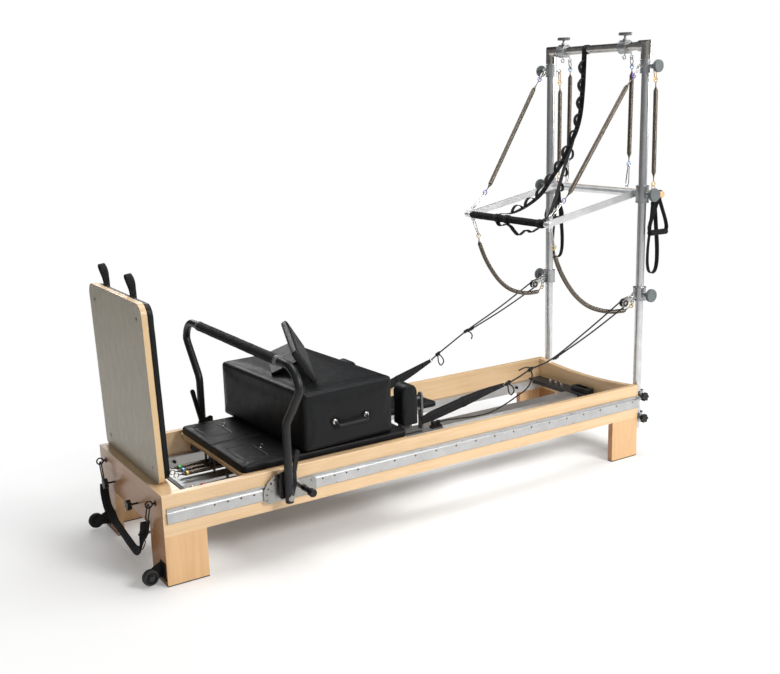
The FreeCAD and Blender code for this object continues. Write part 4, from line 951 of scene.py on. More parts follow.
def ride(obj, body, replaced=None):
    """Fix a piece to one body; replaced is the CAD node it stands in for."""
    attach(obj, body)
    if replaced:
        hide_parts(replaced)


def stretch(obj, bodies, start, end, slot, replaced=None):
    """Bake a piece's placement into its mesh and hide the CAD node it stands in for."""
    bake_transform(obj)
    if replaced:
        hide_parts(replaced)


# ------------------------------------------------------------------ sitting box
def sitting_box():
    """Upholstered box standing slightly turned on the carriage."""
    centre_x, centre_y = -404.5, 26.0
    size, base_z = (0.436, 0.704, 0.246), 0.3824
    inset = 0.0035  # room left for the filling
    handle_x, handle_z = 0.076, 0.104  # handle ends from the centre and above the base
    half_x, half_y, half_z = (length / 2 for length in size)
    turn = Matrix.Rotation(math.radians(3.6), 4, "Z")
    centre = place(centre_x, centre_y, 0) + Vector((0, 0, base_z + half_z))
    matrix = Matrix.Translation(centre) @ turn
    body = rounded_block((size[0] - 2 * inset, size[1] - 2 * inset, size[2] - inset - 0.001),
                         0.016, 6)
    lowered = Matrix.Translation((0, 0, -inset / 2 + 0.0005))
    mesh = to_mesh(body, "sitting_box_cover", matrix @ lowered)
    box = cushion("sitting_box_cover", mesh, 0.0068, 0.0026, "leather",
                  lambda points: points[:, 2] < base_z + 0.006)
    # seam round the top, its corners cut, and one down each upright edge
    long_x, edge_x = half_x - 0.02, half_x - 0.004
    long_y, edge_y = half_y - 0.02, half_y - 0.004
    corners = ((-long_x, -edge_y), (long_x, -edge_y), (edge_x, -long_y), (edge_x, long_y),
               (long_x, edge_y), (-long_x, edge_y), (-edge_x, long_y), (-edge_x, -long_y),
               (-long_x, -edge_y))
    rim = [matrix @ Vector((x, y, half_z - 0.004)) for x, y in corners]
    posts = [[matrix @ Vector((sx * (half_x - 0.005), sy * (half_y - 0.005), z))
              for z in (-half_z + 0.01, half_z - 0.02)] for sx in (-1, 1) for sy in (-1, 1)]
    groove(box, [rim] + posts, 0.0016, 0.0035)
    # dimples where the handles pull the cover in
    points = read_vertices(box.data)
    normals = read_vertices(box.data, "normal")
    ferrules = [(side, x) for side in (-1, 1) for x in (-handle_x, handle_x)]
    for side, x in ferrules:
        spot = np.array(matrix @ Vector((x, side * half_y, handle_z - half_z)))
        squared = np.sum((points - spot) ** 2, 1)
        outward = np.array(matrix.to_3x3() @ Vector((0, side, 0)))
        pull = (0.0075 * np.exp(-squared / 0.022 ** 2)
                - 0.0012 * np.exp(-squared / 0.045 ** 2))
        points = points - outward[None, :] * (pull * (normals @ outward > 0.3))[:, None]
    write_vertices(box.data, points)
    ride(box, "sitting_box_body", "sitting_box")
    row = [(x, y, z - 0.006) for x, y, z in rim]
    ride(stitches("sitting_box_stitching", box, [row]), "sitting_box_body")
    profile = [(-0.002, 0.0128), (0.002, 0.0128), (0.0042, 0.0118), (0.0062, 0.0092),
               (0.0074, 0.0068)]
    parts = [lathe(matrix @ Vector((x, side * (half_y - 0.002), handle_z - half_z)),
                   matrix.to_3x3() @ Vector((0, side, 0)), profile, "chrome", 24)
             for side, x in ferrules]
    ride(join("box_handle_ferrules", parts), "sitting_box_body")


# ------------------------------------------------------------------ carriage pad
def carriage_pad():
    top, up = 381.5, (0, 0, 1)
    low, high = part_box("carriage_pad")
    size = (high.x - low.x - 0.004, high.y - low.y - 0.004, high.z - low.z - 0.0022)
    centre = ((low.x + high.x) / 2, 0, low.z + size[2] / 2 + 0.0001)
    mesh = to_mesh(slab(size, 2, corner=0.024, corner_segments=6, rim=0.008),
                   "carriage_pad_cover", Matrix.Translation(centre))
    pad = cushion("carriage_pad_cover", mesh, 0.0062, 0.0022, "leather_pad",
                  lambda points: points[:, 2] < low.z + 0.004)
    # middle seam, two sunk panels, and a seam across the pad at its +X end
    groove(pad, [places([(-866, 0, top), (-560, 0, top)])], 0.0075, 0.0038, up)
    panels = [rounded_at(top, -826, -722, y0, y1, 14) for y0, y1 in ((-250, -92), (92, 250))]
    groove(pad, panels, 0.0019, 0.0034, up)
    groove(pad, [places([(-575, -282, top), (-575, 282, top)])], 0.0022, 0.004, up)
    ride(pad, "carriage", "carriage_pad")
    halves = [rounded_at(top, -852, -575, y0, y1, 20) for y0, y1 in ((-268, -14), (14, 268))]
    ride(stitches("carriage_pad_stitching", pad, halves), "carriage")
    rivet = [(0, 0.006), (0.0012, 0.0058), (0.0024, 0.004), (0.003, 0.001)]
    parts = []
    for x, y in ((-709, 200), (-702, -155)):
        parts.append(torus(place(x, y, 388), (0.5, 0.75, 0.2), 0.0075, 0.0014, "chrome", 20, 8))
        parts.append(lathe(place(x - 4, y, 380.8), up, rivet, "chrome", 18))
    ride(join("carriage_pad_rings", parts), "carriage")


# ------------------------------------------------------------------ headrest
def headrest():
    mesh = to_mesh(rounded_block((0.274, 0.202, 0.0285), 0.011, 4), "headrest_cover",
                   Matrix.Translation(place(58.5, 0, 371.3 + 14.2)))
    cover = cushion("headrest_cover", mesh, 0.0046, 0.0035, "leather",
                    lambda points: points[:, 2] < 0.3735)
    groove(cover, [rounded_at(386, -80, 197, -103, 103, 22)], 0.0012, 0.0028)
    ride(cover, "headrest_body", "headrest")
    row = rounded_at(399, -74, 192, -98, 98, 20)
    ride(stitches("headrest_stitching", cover, [row]), "headrest_body")
    pin = lathe(place(-89, -59, 362), (0, 1, 0),
                [(0, 0.0062), (0.001, 0.0090), (0.117, 0.0090), (0.118, 0.0062)], "black", 24)
    leaf = new_object("leaf", to_mesh(rounded_block((0.012, 0.118, 0.0145), 0.0015, 2), "leaf",
                                      Matrix.Translation(place(-79.5, 0, 364.4))))
    leaf.data.materials.append(MATERIALS["black"])
    ride(join("headrest_hinge", [pin, leaf]), "headrest_body")


# ------------------------------------------------------------------ shoulder rests
def shoulder_rest(side, tag):
    """Arched block standing on the carriage."""
    base_x, base_y, base_z = -70, side * 249, 384
    half_width, spring_line, radius = 0.0375, 0.141, 0.0370
    outline = [(-half_width, 0), (-half_width, spring_line)]  # x, z
    for k in range(1, 12):
        angle = math.pi - math.pi * k / 12
        outline.append((radius * math.cos(angle) * 1.014,
                        spring_line + 0.0365 * math.sin(angle)))
    outline += [(half_width, spring_line), (half_width, 0)]
    bm = bmesh.new()
    face = bm.faces.new([bm.verts.new((x, -0.0395, z)) for x, z in outline])
    extruded = bmesh.ops.extrude_face_region(bm, geom=[face])["geom"]
    moved = [item for item in extruded if isinstance(item, bmesh.types.BMVert)]
    bmesh.ops.translate(bm, verts=moved, vec=(0, 0.079, 0))
    bmesh.ops.recalc_face_normals(bm, faces=bm.faces[:])
    rims = [e for e in bm.edges if abs(e.verts[0].co.y - e.verts[1].co.y) < 1e-6]
    bevel(bm, rims, 0.005, 3)
    mesh = to_mesh(bm, "shoulder_pad_" + tag, Matrix.Translation(place(base_x, base_y, base_z)))
    cover = cushion("shoulder_pad_cover_" + tag, mesh, 0.0045, 0.003, "leather",
                    lambda points: (points[:, 2] < 0.388) | (points[:, 0] > -0.033 + X_SHIFT))
    seams = [[place(base_x + x * 1000, base_y + face * 38, base_z + z * 1000)
              for x, z in outline] for face in (-1, 1)]
    groove(cover, seams, 0.0013, 0.0028)
    ride(cover, "carriage", side > 0 and "shoulder_pads")
    rows = [[(x, y - face * 0.005, z) for x, y, z in seam]
            for seam, face in zip(seams, (-1, 1))]
    ride(stitches("shoulder_pad_stitching_" + tag, cover, rows), "carriage")


# ------------------------------------------------------------------ jump board
def jump_board():
    """Pad on the +X face of the leaning board, and two strap loops above it."""
    lean = math.radians(1.7)
    thick, height = 0.0285, 0.680
    back_x, base_z = 0.0221, 0.0035  # from the foot of the board
    low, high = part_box("jumpboard_pad")
    matrix = (Matrix.Translation(place(-1166, 0, 355)) @ Matrix.Rotation(-lean, 4, "Y"))
    centre = Matrix.Translation((back_x + thick / 2, (low.y + high.y) / 2, base_z + height / 2))
    body = slab((thick, high.y - low.y - 0.003, height), 0, corner=0.044, corner_segments=8,
                rim=0.009)
    mesh = to_mesh(body, "jumpboard_pad_cover", matrix @ centre)
    inverse = np.array(matrix.inverted())

    def on_board(points):
        return inverse[0, :3] @ points.T + inverse[0, 3] < 0.0255

    pad = cushion("jumpboard_pad_cover", mesh, 0.0070, 0.0022, "leather_pad", on_board)
    margin = 0.012
    seam = [matrix @ Vector((0.050, y, z)) for y, z in
            rounded(low.y + margin, high.y - margin, base_z + margin,
                    base_z + height - margin, 0.034)]
    groove(pad, [seam], 0.0016, 0.0036, (1, 0, 0))
    ride(pad, "jumpboard", "jumpboard_pad")
    ride(stitches("jumpboard_pad_stitching", pad, [seam]), "jumpboard")
    face_x = -1114 - math.sin(lean) * 600 + 12.6
    # x from the face, y from the loop's centre, z
    loop = [(0, -4, 990), (0, -4, 1030), (-1, 4, 1052), (-5, 19, 1078), (-9, 22, 1096),
            (-12, 10, 1109), (-13, -8, 1109), (-10, -20, 1097), (-6, -21, 1078),
            (-2, -12, 1052), (0, -8, 1030), (0, -8, 990)]
    patch = [(1.2, y, 1001) for y in (-22, 0, 22)]
    parts = []
    for centre_y in (340.0, 20.0):
        for points, across, width, thickness in ((loop, (1, 0.12, 0.10), 0.026, 0.0028),
                                                 (patch, (0, 0, 1), 0.020, 0.0022)):
            line = path([(face_x + x, centre_y + y, z) for x, y, z in points], 0.004)
            parts.append(ribbon(line, across, width, thickness))
    ride(join("jumpboard_strap_loops", parts), "jumpboard", "jumpboard_loops")


# ------------------------------------------------------------------ tilted plate
def bounding_volume(verts):
    points = np.array([v.co for v in verts])
    return float(np.prod(points.max(0) - points.min(0)))


def connected_groups(bm):
    seen, groups = set(), []
    for vert in bm.verts:
        if vert in seen:
            continue
        todo, group = [vert], []
        seen.add(vert)
        while todo:
            current = todo.pop()
            group.append(current)
            for edge in current.link_edges:
                other = edge.other_vert(current)
                if other not in seen:
                    seen.add(other)
                    todo.append(other)
        groups.append(group)
    return groups


def tilted_plate():
    """Padded plate leaning on its prop."""
    width, length, thick = 0.161, 0.480, 0.029
    floor_z = 0.6298  # the cover is flattened where it would go lower
    # corner, next corner across the width, next corner along the length, mm
    corner, across, along = (Vector(v) / 1000 for v in
                             ((-400, 186, 810), (-320, 162, 672), (-577, -259, 786)))
    along = (along - corner).normalized()
    across = across - corner
    across = (across - along * across.dot(along)).normalized()
    normal = across.cross(along)
    matrix = Matrix(((across.x, along.x, normal.x, corner.x + X_SHIFT),
                     (across.y, along.y, normal.y, corner.y),
                     (across.z, along.z, normal.z, corner.z),
                     (0, 0, 0, 1)))
    body = rounded_block((width - 0.003, length - 0.003, thick - 0.002), 0.0065, 4)
    centre = Matrix.Translation((0.0805, 0.240, 0.0145))
    plate = cushion("tilted_plate_cover", to_mesh(body, "tilted_plate_cover", matrix @ centre),
                    0.0046, 0.0022, "leather_plate")
    points = read_vertices(plate.data)
    points[:, 2] = np.maximum(points[:, 2], floor_z)
    write_vertices(plate.data, points)

    def outline(margin, z):
        x0, x1, y0, y1 = margin, width - margin, margin, length - margin
        corners = ((x0, y0), (x1, y0), (x1, y1), (x0, y1), (x0, y0))
        return [matrix @ Vector((x, y, z)) for x, y in corners]

    groove(plate, [outline(0, 0.0145)], 0.0010, 0.0024)
    ride(plate, "platform_body")
    ride(stitches("tilted_plate_stitching", plate, [outline(0.010, 0.0295)]),
         "platform_body")
    # the prop is the smallest part of the CAD node, with its edges softened
    bm = bmesh.new()
    bm.from_mesh(NODES["platform_board"].data)
    bmesh.ops.remove_doubles(bm, verts=bm.verts[:], dist=1e-6)
    groups = sorted(connected_groups(bm), key=bounding_volume)
    bmesh.ops.delete(bm, geom=[v for group in groups[1:] for v in group], context="VERTS")
    bmesh.ops.dissolve_limit(bm, angle_limit=math.radians(3), verts=bm.verts[:],
                             edges=bm.edges[:])
    bmesh.ops.recalc_face_normals(bm, faces=bm.faces[:])
    bevel(bm, bm.edges[:], 0.0012, 2)
    prop = new_object("plate_prop", to_mesh(bm, "plate_prop"))
    prop.data.materials.append(MATERIALS["leather_plate"])
    ride(prop, "platform_body")
    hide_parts("platform_board")


# ------------------------------------------------------------------ foam grips
def foam_grip(name, x, z, half_length, count, radius, ripple, waves, ends, material, sides):
    """Foam sleeve across the bed; ends are the radii of its last two rings."""
    y = np.linspace(-half_length, half_length, count)
    radii = radius + ripple * np.sin(y * waves[0]) * np.cos(y * waves[1])
    radii[0], radii[1], radii[-1], radii[-2] = ends * 2
    line = np.stack([np.full(count, x / 1000 + X_SHIFT), y, np.full(count, z / 1000)], 1)
    return sweep(line, radii, material, sides, name=name)


def foam_grips():
    grip = foam_grip("footbar_foam", FOOTBAR_X, FOOTBAR_TOP, half_length=0.386, count=130,
                     radius=0.0206, ripple=0.0004, waves=(61, 23), ends=(0.0172, 0.0198),
                     material="foam_grip", sides=32)
    ride(grip, "footbar", "footbar_grip")
    radii = [0.0192, 0.0212, 0.0215, 0.0213, 0.0215, 0.0213, 0.0215, 0.0211, 0.0180]
    tapes = []
    for side in (-1, 1):
        line = np.stack([np.full(9, FOOTBAR_X / 1000 + X_SHIFT),
                         side * np.linspace(0.3665, 0.3905, 9),
                         np.full(9, FOOTBAR_TOP / 1000)], 1)
        tapes.append(sweep(line, radii, "grey", 28))
    ride(join("footbar_grip_tape", tapes), "footbar")
    grip = foam_grip("push_bar_foam_cover", PUSH_BAR_X, PUSH_BAR_Z, half_length=0.270,
                     count=100, radius=0.0172, ripple=0.0003, waves=(71, 31),
                     ends=(0.0145, 0.0168), material="foam", sides=30)
    ride(grip, "push_bar", "push_bar_foam")


# ------------------------------------------------------------------ springs
ARM_END_Z = 1273.0  # height of the push bar arms at the tower
ARM_ANGLE = math.atan2(ARM_END_Z - PUSH_BAR_Z, TOWER_X - PUSH_BAR_X)


def arm_point(along, above):
    """x and z of a point on the push bar arm, measured from the bar."""
    return (PUSH_BAR_X + along * math.cos(ARM_ANGLE) - above * math.sin(ARM_ANGLE),
            PUSH_BAR_Z + along * math.sin(ARM_ANGLE) + above * math.cos(ARM_ANGLE))


EYE_ABOVE = arm_point(24, 15)
EYE_BELOW = arm_point(16, -15)

# Far-side places. rings: centres of the upper and lower end rings. coil: line of the coil
# from the upper end. anchors: where the upper and lower hooks hold; frame_end is the index
# of the anchor on the frame, the other one being on the push bar.
TOWER_SPRINGS = (
    dict(name="spring_diagonal_", colour="ring_purple",
         rings=((1152, 325, 1808), (774, 287, 1269)),
         coil=((1111, 321, 1760), (807, 291, 1305)),
         anchors=((TOWER_X - 43, 325, 1849), (EYE_ABOVE[0] - 2, 285, EYE_ABOVE[1] + 12)),
         frame_end=0, node=None),
    dict(name="spring_curved_", colour="ring_yellow",
         rings=((727, 280, 1062), (1177, 323.5, 745)),
         coil=((731, 279, 1024), (762, 280, 955), (804, 282, 888), (860, 286, 822),
               (925, 292, 772), (990, 299, 744), (1065, 307, 727), (1140, 315, 724)),
         anchors=((EYE_BELOW[0], 285, EYE_BELOW[1] - 12), (TOWER_X - 43, 325, 774)),
         frame_end=1, node="springs_push_bar"),
    dict(name="spring_vertical_", colour="ring_blue",
         rings=((1254, 211, 1852), (1249, 211, 1404)),
         coil=((1254, 211, 1817), (1250, 211, 1447)),
         anchors=((TOWER_X + 24, 211, TOWER_TOP - 47), (TOWER_X + 14, 211, ARM_END_Z + 26)),
         frame_end=0, node="springs_vertical"),
    dict(name="spring_rear_", colour="ring_yellow",
         rings=((1290, 328, 1789), (1293, 330, 1314)),
         coil=((1292, 328, 1745), (1293, 330, 1362)),
         anchors=(), node="springs_rear"),
)


def hook(start, end):
    """Snap hook: a pear-shaped wire loop with a straight gate and a swivel barrel."""
    half_width, wire = 0.009, 0.0021
    # along as a share of the length, across as a share of the half width
    loop = [(0.0, 0.0), (0.05, 0.62), (0.20, 0.98), (0.45, 0.86), (0.72, 0.60), (0.93, 0.44),
            (1.0, 0.0), (0.93, -0.44), (0.72, -0.60), (0.45, -0.86), (0.20, -0.98),
            (0.05, -0.62)]
    along = end - start
    length = along.length
    along.normalize()
    across = Vector((0, 1, 0))
    across = (across - along * across.dot(along)).normalized()

    def at(share, out):
        return start + along * (share * length) + across * (out * half_width)

    line = curve([at(*point) for point in loop], 0.0022, closed=True)[:-1]
    body = sweep(line, wire, "chrome", 10, closed=True)
    gate = sweep(even([at(0.22, 0.95), at(0.80, 0.54)], 0.003), wire * 1.25, "chrome", 10)
    middle = start + along * (0.90 * length)
    barrel = [middle + along * offset for offset in (-0.004, -0.003, 0.003, 0.004)]
    swivel = sweep(barrel, [0.0030, 0.0046, 0.0046, 0.0030], "chrome", 12)
    return join("hook", [body, gate, swivel])


def spring_parts(rings, line, colour):
    """Coil with a tapered neck and a coloured ring at each end."""
    line_step = 0.004
    bent = len(line) > 2
    smooth = curve(line, line_step) if bent else even(line, line_step)
    parts = [coil(smooth, 0.0105, 0.0028)]
    for end, ring in ((line[0], rings[0]), (line[-1], rings[1])):
        along = (ring - end).normalized()
        length = (ring - end).length
        shares = (0.0, 0.12, 0.28, 0.55, 1.0 - 0.009 / length)
        neck = [end + along * (length * share) for share in shares]
        parts.append(sweep(neck, [0.0085, 0.0060, 0.0034, 0.0022, 0.0021], "spring", 12))
        parts.append(torus(ring, (0, 1, 0), 0.0105, 0.0023, colour, 26, 10))
    return parts


def tower_spring(side, tag, name, colour, rings, coil, anchors, node, frame_end=0):
    rings, anchors = places(rings, side), places(anchors, side)
    parts = spring_parts(rings, places(coil, side), colour)
    parts += [hook(anchor, ring) for anchor, ring in zip(anchors, rings)]
    spring = join(name + tag, parts)
    replaced = side > 0 and node
    if anchors:
        stretch(spring, ("frame", "push_bar"), anchors[frame_end], anchors[1 - frame_end],
                "spring_steel", replaced)
    else:
        ride(spring, "rolldown", replaced)


def carriage_springs():
    """Five coils under the carriage, each with a coloured collar."""
    z = 276.0
    start_x, end_x = -968, -358
    # x in mm and radius in metres of the tapered necks
    necks = (((-991, 0.0020), (-981, 0.0024), (-973, 0.0055), (-966, 0.0080)),
             ((-360, 0.0080), (-352, 0.0050), (-344, 0.0022), (-330.5, 0.0020)))
    collar = [(0, 0.0088), (0.001, 0.0100), (0.013, 0.0100), (0.014, 0.0088)]
    parts = []
    for y, colour in ((-192.0, "ring_red"), (-150.0, "ring_red"), (20.0, "ring_yellow"),
                      (62.5, "ring_blue"), (105.0, "ring_green")):
        line = even([place(start_x, y, z), place(end_x, y, z)], 0.004)
        parts.append(coil(line, 0.0095, 0.0026))
        rod = even([place(-1040, y, z), place(-1011, y, z)], 0.006)
        parts.append(sweep(rod, 0.002, "chrome", 10))
        parts.append(torus(place(-1001, y, z), (0, 1, 0), 0.010, 0.0020, "chrome", 24, 8))
        for neck in necks:
            parts.append(sweep([place(x, y, z) for x, _ in neck],
                               [radius for _, radius in neck], "spring", 12))
        parts.append(lathe(place(-962, y, z), (1, 0, 0), collar, colour, 22))
    stretch(join("carriage_spring_set", parts), ("frame", "carriage"),
            place(start_x, 0, z), place(end_x, 0, z), "spring_steel", "carriage_springs")


# ------------------------------------------------------------------ ropes
# Points are x, distance inward from the pulley's plane, z. run: the upper line, from its
# carriage end toward the pulley. low: where the return line ends. knots: the stations of run
# tied with the plain and the thick knot. tails: rope radius, step and points.
ROPES = {
    -1: dict(
        run=[(300, 52, 453), (370, 40, 466), (445, 28, 482), (504, 20, 504), (564, 14, 529),
             (674, 6, 557)],
        low=(690, 6, 556), knots=(4, 2),
        tails=[(0.0033, 0.005, [(564, 14, 529), (575, 15, 500), (562, 18, 458), (545, 24, 436),
                                (500, 36, 408), (440, 50, 376), (374, 62, 352), (300, 74, 345),
                                (220, 84, 348), (150, 90, 352), (112, 92, 350)]),
               (0.0030, 0.004, [(445, 28, 482), (470, 26, 462), (480, 28, 440), (466, 30, 424),
                                (452, 30, 440), (446, 29, 470)]),
               (0.0032, 0.004, [(572, 14, 532), (545, 10, 543), (518, 6, 545),
                                (488, 4, 539)])]),
    1: dict(
        run=[(440, 36, 472), (483, 30, 493), (560, 20, 527), (675, 6, 577)],
        low=(690, 6, 576), knots=(3, 1),
        tails=[(0.0030, 0.004, [(483, 30, 493), (505, 30, 476), (516, 32, 450), (498, 34, 434),
                                (484, 34, 452), (482, 31, 484)]),
               (0.0032, 0.004, [(675, 6, 577), (700, 6, 568), (712, 8, 550),
                                (706, 9, 532)])]),
}


def knot(centre, along, radius=0.0085):
    """Stopper knot: rope wound round the line."""
    along = Vector(along).normalized()
    first = along.cross(Vector((0, 1, 0))).normalized()
    second = along.cross(first)
    line = []
    for i in range(64):
        t = i / 63
        angle = t * FULL_TURN * 3.2
        spoke = first * math.cos(angle) + second * math.sin(angle)
        line.append(centre + along * ((t - 0.5) * 0.026) + spoke * (radius * 0.62))
    return sweep(line, 0.0035, "rope", 10)


def rope(side, tag, run, low, knots, tails):
    """Rope over the pulley, with its knots and tails, and its turns round the cleat."""
    wrap_tilt = math.radians(21.6)
    angles = np.linspace(math.pi / 2 + wrap_tilt, -math.pi / 2 + wrap_tilt, 14)
    wrap = arc(PULLEY_X, 0, PULLEY_Z, 17.7, angles)

    def route(points):
        return [place(x, side * PULLEY_Y - side * inward, z) for x, inward, z in points]

    # the two middle points let each line sag
    end = run[-1]
    upper = (900, end[1] / 2 + 1, (end[2] + wrap[0][2]) / 2 - 4)
    lower = (915, low[1] / 2, (low[2] + wrap[-1][2]) / 2 - 5)
    line = curve(route(run + [upper] + wrap + [lower, low]), 0.005)
    parts = [sweep(line, 0.0036, "rope", 12)]
    plain, thick, last = route([run[knots[0]], run[knots[1]], (low[0] + 22, low[1], low[2] + 9)])
    parts.append(knot(plain, (1, 0, 0.35)))
    parts.append(knot(thick, (1, 0, 0.4), 0.0095))
    parts.append(knot(last, (1, 0, 0.45), 0.0075))
    for radius, step, points in tails:
        parts.append(sweep(curve(route(points), step), radius, "rope", 10))
    stretch(join("rope_" + tag, parts), ("frame", "carriage"),
            place(PULLEY_X, side * PULLEY_Y, PULLEY_Z), route(run)[0], "rope",
            side > 0 and "ropes")
    turns = []
    for k in range(70):
        t = k / 69
        angle = t * FULL_TURN * 3
        turns.append(place(96 + 21 * math.cos(angle),
                           side * (232 + 4.5 * math.sin(2 * angle)), 345 + 9 * t))
    ride(sweep(turns, 0.0032, "rope", 10, name="cleat_rope_" + tag), "carriage")


# ------------------------------------------------------------------ shoulder straps
# From the rests up to the ropes; y is the distance from the bed's middle
SHOULDER_STRAPS = {
    -1: [(2, 262, 384), (60, 266, 398), (150, 271, 418), (240, 274, 437), (330, 280, 457),
         (425, 296, 478)],
    1: [(24, 268, 352), (110, 276, 374), (200, 281, 395), (300, 283, 425), (432, 290, 468)],
}


def shoulder_strap(side, tag):
    line = path(SHOULDER_STRAPS[side], 0.006, side)
    share = np.linspace(0, 1, len(line))
    taper = ((1 - 0.62 * np.clip((share - 0.55) / 0.45, 0, 1) ** 1.3)
             * (0.72 + 0.28 * np.clip(share / 0.12, 0, 1)))
    across = np.stack([np.sin(0.35 * np.sin(share * 5)) * 0.35, np.zeros(len(line)),
                       np.ones(len(line))], 1)
    end, before = Vector(line[-1]), Vector(line[-8])
    middle = Vector(line[len(line) // 2])
    along = (end - before).normalized()
    up = (0, 0, 1)
    fold = even([before - along * 0.012, before + along * 0.020], 0.004)
    band = even([middle - along * 0.010, middle + along * 0.010], 0.004)
    parts = [
        ribbon(line, across, 0.046, 0.0060, taper=taper),
        ribbon(fold, up, 0.022, 0.0085),
        torus(end + along * 0.004, (0, 1, 0), 0.0085, 0.0018, "chrome", 22, 8),
        ribbon(band, up, 0.048, 0.0085),
    ]
    ride(join("shoulder_strap_" + tag, parts), "carriage",
         side > 0 and "shoulder_straps")


# ------------------------------------------------------------------ hand straps
# x, z of the two legs of the handle strap and of the long loop beside it
HANDLE_LEGS = (((1291, 1249), (1270, 1200), (1246, 1145), (1237, 1112), (1240, 1098)),
               ((1296, 1249), (1318, 1200), (1342, 1145), (1351, 1112), (1348, 1098)))
LONG_LOOP = ((1289, 1246), (1275, 1120), (1262, 1000), (1264, 930), (1276, 899), (1294, 890),
             (1312, 900), (1323, 930), (1325, 1000), (1312, 1120), (1298, 1246))


def hand_strap(side, tag):
    """Handle strap and long loop hanging from the roll-down bar, and the foam grip."""
    handle_y, loop_y = side * 366, side * 336
    level = (0, 1, 0)

    def wrap(y, radius, width, thickness):
        angles = np.linspace(-2.1, FULL_TURN - 1.05, 26)
        line = path(arc(ROLLDOWN_X, y, 1268, radius, angles), 0.004)
        return ribbon(line, level, width, thickness)

    parts = [ribbon(path([(x, handle_y, z) for x, z in leg], 0.005), level, 0.024, 0.003)
             for leg in HANDLE_LEGS]
    parts.append(wrap(handle_y, 19.0, 0.025, 0.0026))
    line = path([(x, loop_y, z) for x, z in LONG_LOOP], 0.006)
    share = np.linspace(0, 1, len(line))
    across = np.stack([0.25 * np.sin(share * 2 * math.pi), np.ones(len(line)),
                       np.zeros(len(line))], 1)
    parts.append(ribbon(line, across, 0.022, 0.003))
    parts.append(wrap(loop_y, 18.6, 0.022, 0.0024))
    keeper = path([(ROLLDOWN_X + x, loop_y, 1222) for x in (-16, 0, 16)], 0.004)
    parts.append(ribbon(keeper, (0, 0, 1), 0.018, 0.0075))
    ride(join("hand_straps_" + tag, parts), "rolldown",
         side > 0 and "handle_straps")
    profile = [(0.0, 0.0095), (0.0015, 0.0128), (0.006, 0.0140)]
    profile += [(0.010 + 0.008 * i, 0.0140 - (0.0009 if i % 2 else 0.0)) for i in range(13)]
    profile += [(0.110, 0.0140), (0.1145, 0.0128), (0.116, 0.0095)]
    grip = lathe(place(1236, handle_y, 1090), (1, 0, 0), profile, "foam", 28,
                 name="hand_grip_" + tag)
    ride(grip, "rolldown", side > 0 and "handle_grips")


# ------------------------------------------------------------------ webbing on the frame
FOOT_STRAP = [(-1228, 243, 226), (-1229, 246, 190), (-1231, 214, 138), (-1229, 150, 104),
              (-1228, 40, 80), (-1230, -60, 68), (-1231, -120, 66), (-1229, -170, 92),
              (-1227, -205, 145), (-1228, -240, 226)]


def foot_end_strap():
    """Strap slung across the foot end, doubled and buckled toward its near end."""
    line = path(FOOT_STRAP, 0.006)
    share = np.linspace(0, 1, len(line))
    twist = np.clip((share - 0.10) / 0.25, 0, 1) * np.clip((0.97 - share) / 0.18, 0, 1)
    twist = twist * twist * (3 - 2 * twist)
    across = np.stack([1 - 0.62 * twist, 0.0 * share, -0.15 + 1.1 * twist], 1)
    middle = int(len(line) * 0.86)
    doubled = slice(middle - 22, middle + 8)
    parts = [ribbon(line, across, 0.036, 0.0030),
             ribbon(line[doubled] + np.array([-0.004, 0.0, 0.002]), across[doubled],
                    0.032, 0.0028)]
    outline = ((-1, -1), (1, -1), (1.12, 0), (1, 1), (-1, 1), (-1.12, 0))
    for j in (int(len(line) * 0.80), int(len(line) * 0.90)):
        centre = Vector(line[j])
        along = Vector(line[j + 1]) - Vector(line[j - 1])
        along.normalize()
        wide = Vector(across[j])
        wide = (wide - along * wide.dot(along)).normalized()
        normal = along.cross(wide)
        buckle = [centre + wide * (x * 0.020) + normal * (z * 0.005) for x, z in outline]
        parts.append(sweep(curve(buckle, 0.003, closed=True)[:-1], 0.0021, "plastic", 8,
                           closed=True))
    ride(join("foot_end_strap", parts), "frame", "frame_webbing")


# From the top bar down to the push bar, and a second tail to its near end
LADDER = [(1212, 66, 1938), (1209, 66, 1850), (1205, 66, 1760), (1190, 66, 1632),
          (1167, 66, 1561), (1128, 68, 1490), (1080, 70, 1408), (1022, 70, 1345),
          (940, 68, 1260), (850, 66, 1212), (760, 66, 1186), (700, 66, 1189)]
LADDER_TAIL = [(1150, 62, 1528), (1120, 50, 1478), (1060, 22, 1408), (1000, -20, 1352),
               (915, -85, 1285), (830, -150, 1228), (760, -205, 1194), (702, -240, 1187)]


def ladder(name, points, strap, loop, first, span, pitch, clear, rise, peak, outward):
    """Strap with a row of loops standing off it.

    strap and loop are (across, width, thickness). first, span, pitch and clear place the
    loops along the strap. rise lists (along, height) from either foot of a loop to its peak.
    """
    line = path(points, 0.006)
    parts = [ribbon(line, *strap)]
    distance = lengths(line)
    start = first
    while start < distance[-1] - clear:
        a, b = np.searchsorted(distance, start), np.searchsorted(distance, start + span)
        p0, p1, middle = line[a], line[b], line[(a + b) // 2]
        along = (p1 - p0) / np.linalg.norm(p1 - p0)
        normal = outward(along)
        arch = [p0 + along * x + normal * height for x, height in rise]
        arch.append(middle + normal * peak)
        arch += [p1 - along * x + normal * height for x, height in reversed(rise)]
        parts.append(ribbon(curve(arch, 0.004), *loop))
        start += pitch
    stretch(join(name, parts), ("frame", "push_bar"), place(1210, 66, 1930),
            place(690, 66, 1188), "webbing")


def toward_foot(along):
    normal = np.cross(along, (0, 1, 0))
    return -normal if normal[0] > 0 else normal


def downward(along):
    normal = np.cross(along, (0.25, 1, 0))
    normal = normal / np.linalg.norm(normal)
    return -normal if normal[2] > 0 else normal


